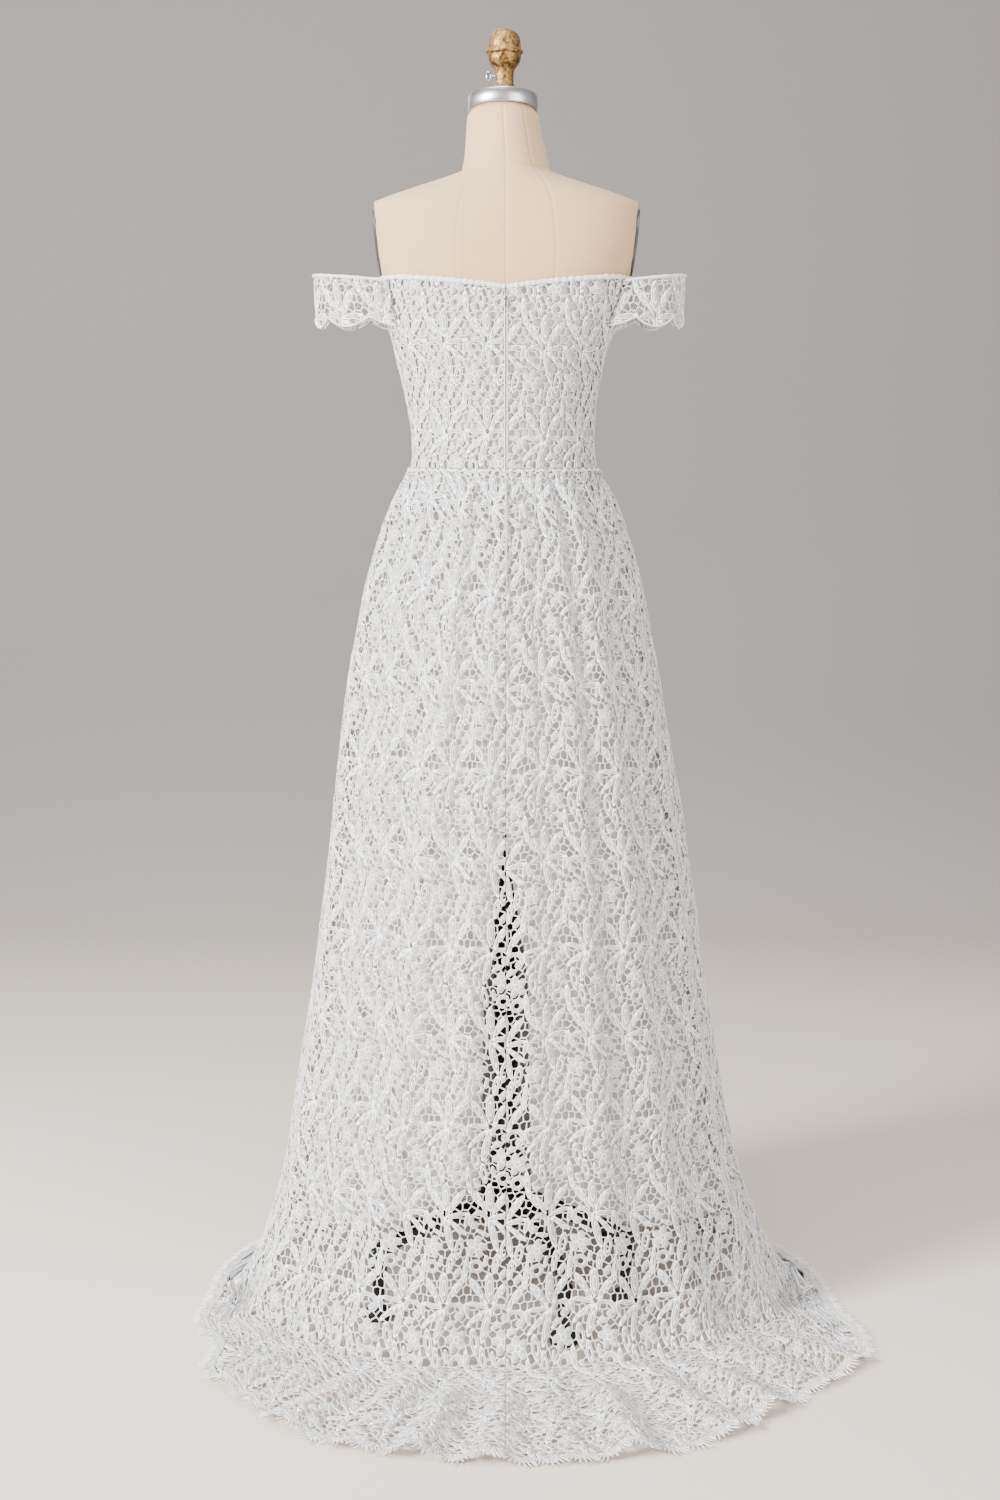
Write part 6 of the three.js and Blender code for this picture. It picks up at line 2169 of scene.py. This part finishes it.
@dataclass
class Stand:
    """Pole, hub, five legs and their pad feet."""

    finishes: Finishes
    pole_radius: float = 16.5
    pole_top: float = 837.5
    hub_top: float = 186.0
    hub_reach: float = 43.6
    hub_z: float = 112.0
    end_z: float = 92.0
    hump: float = 10.0
    legs: tuple[tuple[float, float], ...] = ((49, 232), (-18, 250), (-62, 190), (-135, 225), (140, 215))

    def build(self) -> None:
        """Make the stand from the pole down."""
        foot = self.hub_top + 0.3
        pole = [(15.0, self.pole_top), (16.5, self.pole_top - 1.5), (16.5, foot + 1.5), (15.0, foot)]
        piece = outward(new_piece("pole_tube", *lathe(pole, 48)))
        dress_piece(sharpened(piece), self.finishes.enamel, ("pole",))
        piece = outward(new_piece("stand_hub_casting", *lathe(HUB_PROFILE, 56)))
        dress_piece(piece, self.finishes.enamel, ("stand_hub",))
        for number, (angle, reach) in enumerate(self.legs, 1):
            self._leg(number, angle, reach)

    def _leg(self, number: int, angle: float, reach: float) -> None:
        """An arched round bar with a pad foot on a threaded post."""
        t = np.linspace(0, 1, 26)
        along = self.hub_reach + (reach + 12 - self.hub_reach) * t
        z = self.hub_z + (self.end_z - self.hub_z) * t + self.hump * np.sin(np.pi * t)
        half = 15 + (10 - 15) * t
        half[-1], half[-2] = 8.2, 9.6
        points, faces = tube(polar(along, angle, z), half * 0.98, 20)
        piece = outward(new_piece(f"stand_leg_{number}_bar", points, faces))
        dress_piece(piece, self.finishes.enamel, (f"stand_leg_{number}",))
        middle = polar(reach, angle, 0.0)
        pad = lathe(PAD_PROFILE, 32, (middle[0], middle[1]))
        piece = outward(new_piece(f"stand_foot_{number}_pad", *pad))
        dress_piece(piece, self.finishes.rubber, (f"stand_foot_{number}",))


@dataclass
class Studio:
    """Pale sweep of paper, soft lights and the camera at the photograph's viewing angle."""

    camera_height: float = 1190.0
    camera_distance: float = 3044.0
    camera_tilt: float = 7.9
    focal: float = 52.8          # for 36 mm on the frame's long side
    shift_x: float = -0.004
    surround: str = "#e2e3e6"
    surround_power: float = 0.75
    aim: float = 0.8             # height that the lamps point at, in metres
    # Each lamp's name, place from the pole in metres, size and power
    lamps: tuple[tuple[str, tuple[float, float, float], float, float], ...] = (
        ("key", (3.3, 2.3, 2.1), 1.1, 620.0),
        ("fill", (-2.8, 3.0, 1.6), 2.4, 150.0),
        ("top", (0.4, 0.8, 3.6), 2.0, 80.0),
        ("front", (0.5, -2.4, 2.4), 2.0, 30.0),
    )

    def camera(self) -> None:
        """Look from behind the dress, a little down."""
        data = bpy.data.cameras.new("camera")
        data.lens = self.focal
        data.sensor_width = 36.0
        data.sensor_fit = "AUTO"
        data.shift_x = self.shift_x
        camera = bpy.data.objects.new("camera", data)
        camera.location = AXIS + np.array([0, self.camera_distance, self.camera_height]) * MM
        camera.rotation_euler = (math.radians(90 - self.camera_tilt), 0.0, math.radians(180))
        bpy.context.scene.collection.objects.link(camera)
        bpy.context.scene.camera = camera

    def stage(self) -> None:
        """A floor that sweeps up behind the dress."""
        floor_front, floor_back, bend, wall = 7.0, -2.4, 1.4, 5.0
        arc = np.radians(np.linspace(0, 90, 24))
        curve = [(floor_back - bend * math.sin(t), bend - bend * math.cos(t)) for t in arc]
        line = [(floor_front, 0.0), *curve, (floor_back - bend, wall)]
        points = [(x, y, z) for y, z in line for x in (-7.0, 7.0)]
        faces = [(2 * k, 2 * k + 1, 2 * k + 3, 2 * k + 2) for k in range(len(line) - 1)]
        mesh = bpy.data.meshes.new("paper_sweep")
        mesh.from_pydata(points, [], faces)
        mesh.materials.append(StudioPaper().build())
        linked("paper_sweep", mesh)

    def lights(self) -> None:
        """A large soft key from the dress's left, a weak fill and an even surround."""
        world = bpy.data.worlds.new("studio")
        bpy.context.scene.world = world
        world.use_nodes = True
        background = world.node_tree.nodes["Background"]
        background.inputs[0].default_value = linear(self.surround)
        background.inputs[1].default_value = self.surround_power
        target = Vector(AXIS) + Vector((0, 0, self.aim))
        for name, place, size, power in self.lamps:
            data = bpy.data.lights.new(name, "AREA")
            data.size = size
            data.energy = power
            lamp = bpy.data.objects.new(name, data)
            lamp.location = Vector(AXIS) + Vector(place)
            lamp.rotation_euler = (target - lamp.location).to_track_quat("-Z", "Y").to_euler()
            bpy.context.scene.collection.objects.link(lamp)


def main() -> None:
    """Build the studio, the form on its stand and the dress, in that order."""
    studio = Studio()
    studio.camera()
    studio.stage()
    studio.lights()
    finishes = Finishes()
    Stand(finishes).build()
    DressForm(finishes).build()
    bodice = Bodice(finishes)
    bodice.build()
    Sleeves(finishes).build()
    Skirt(finishes).build()
    ZipClosure(finishes, bodice.form).build()


if __name__ == "__main__":
    main()
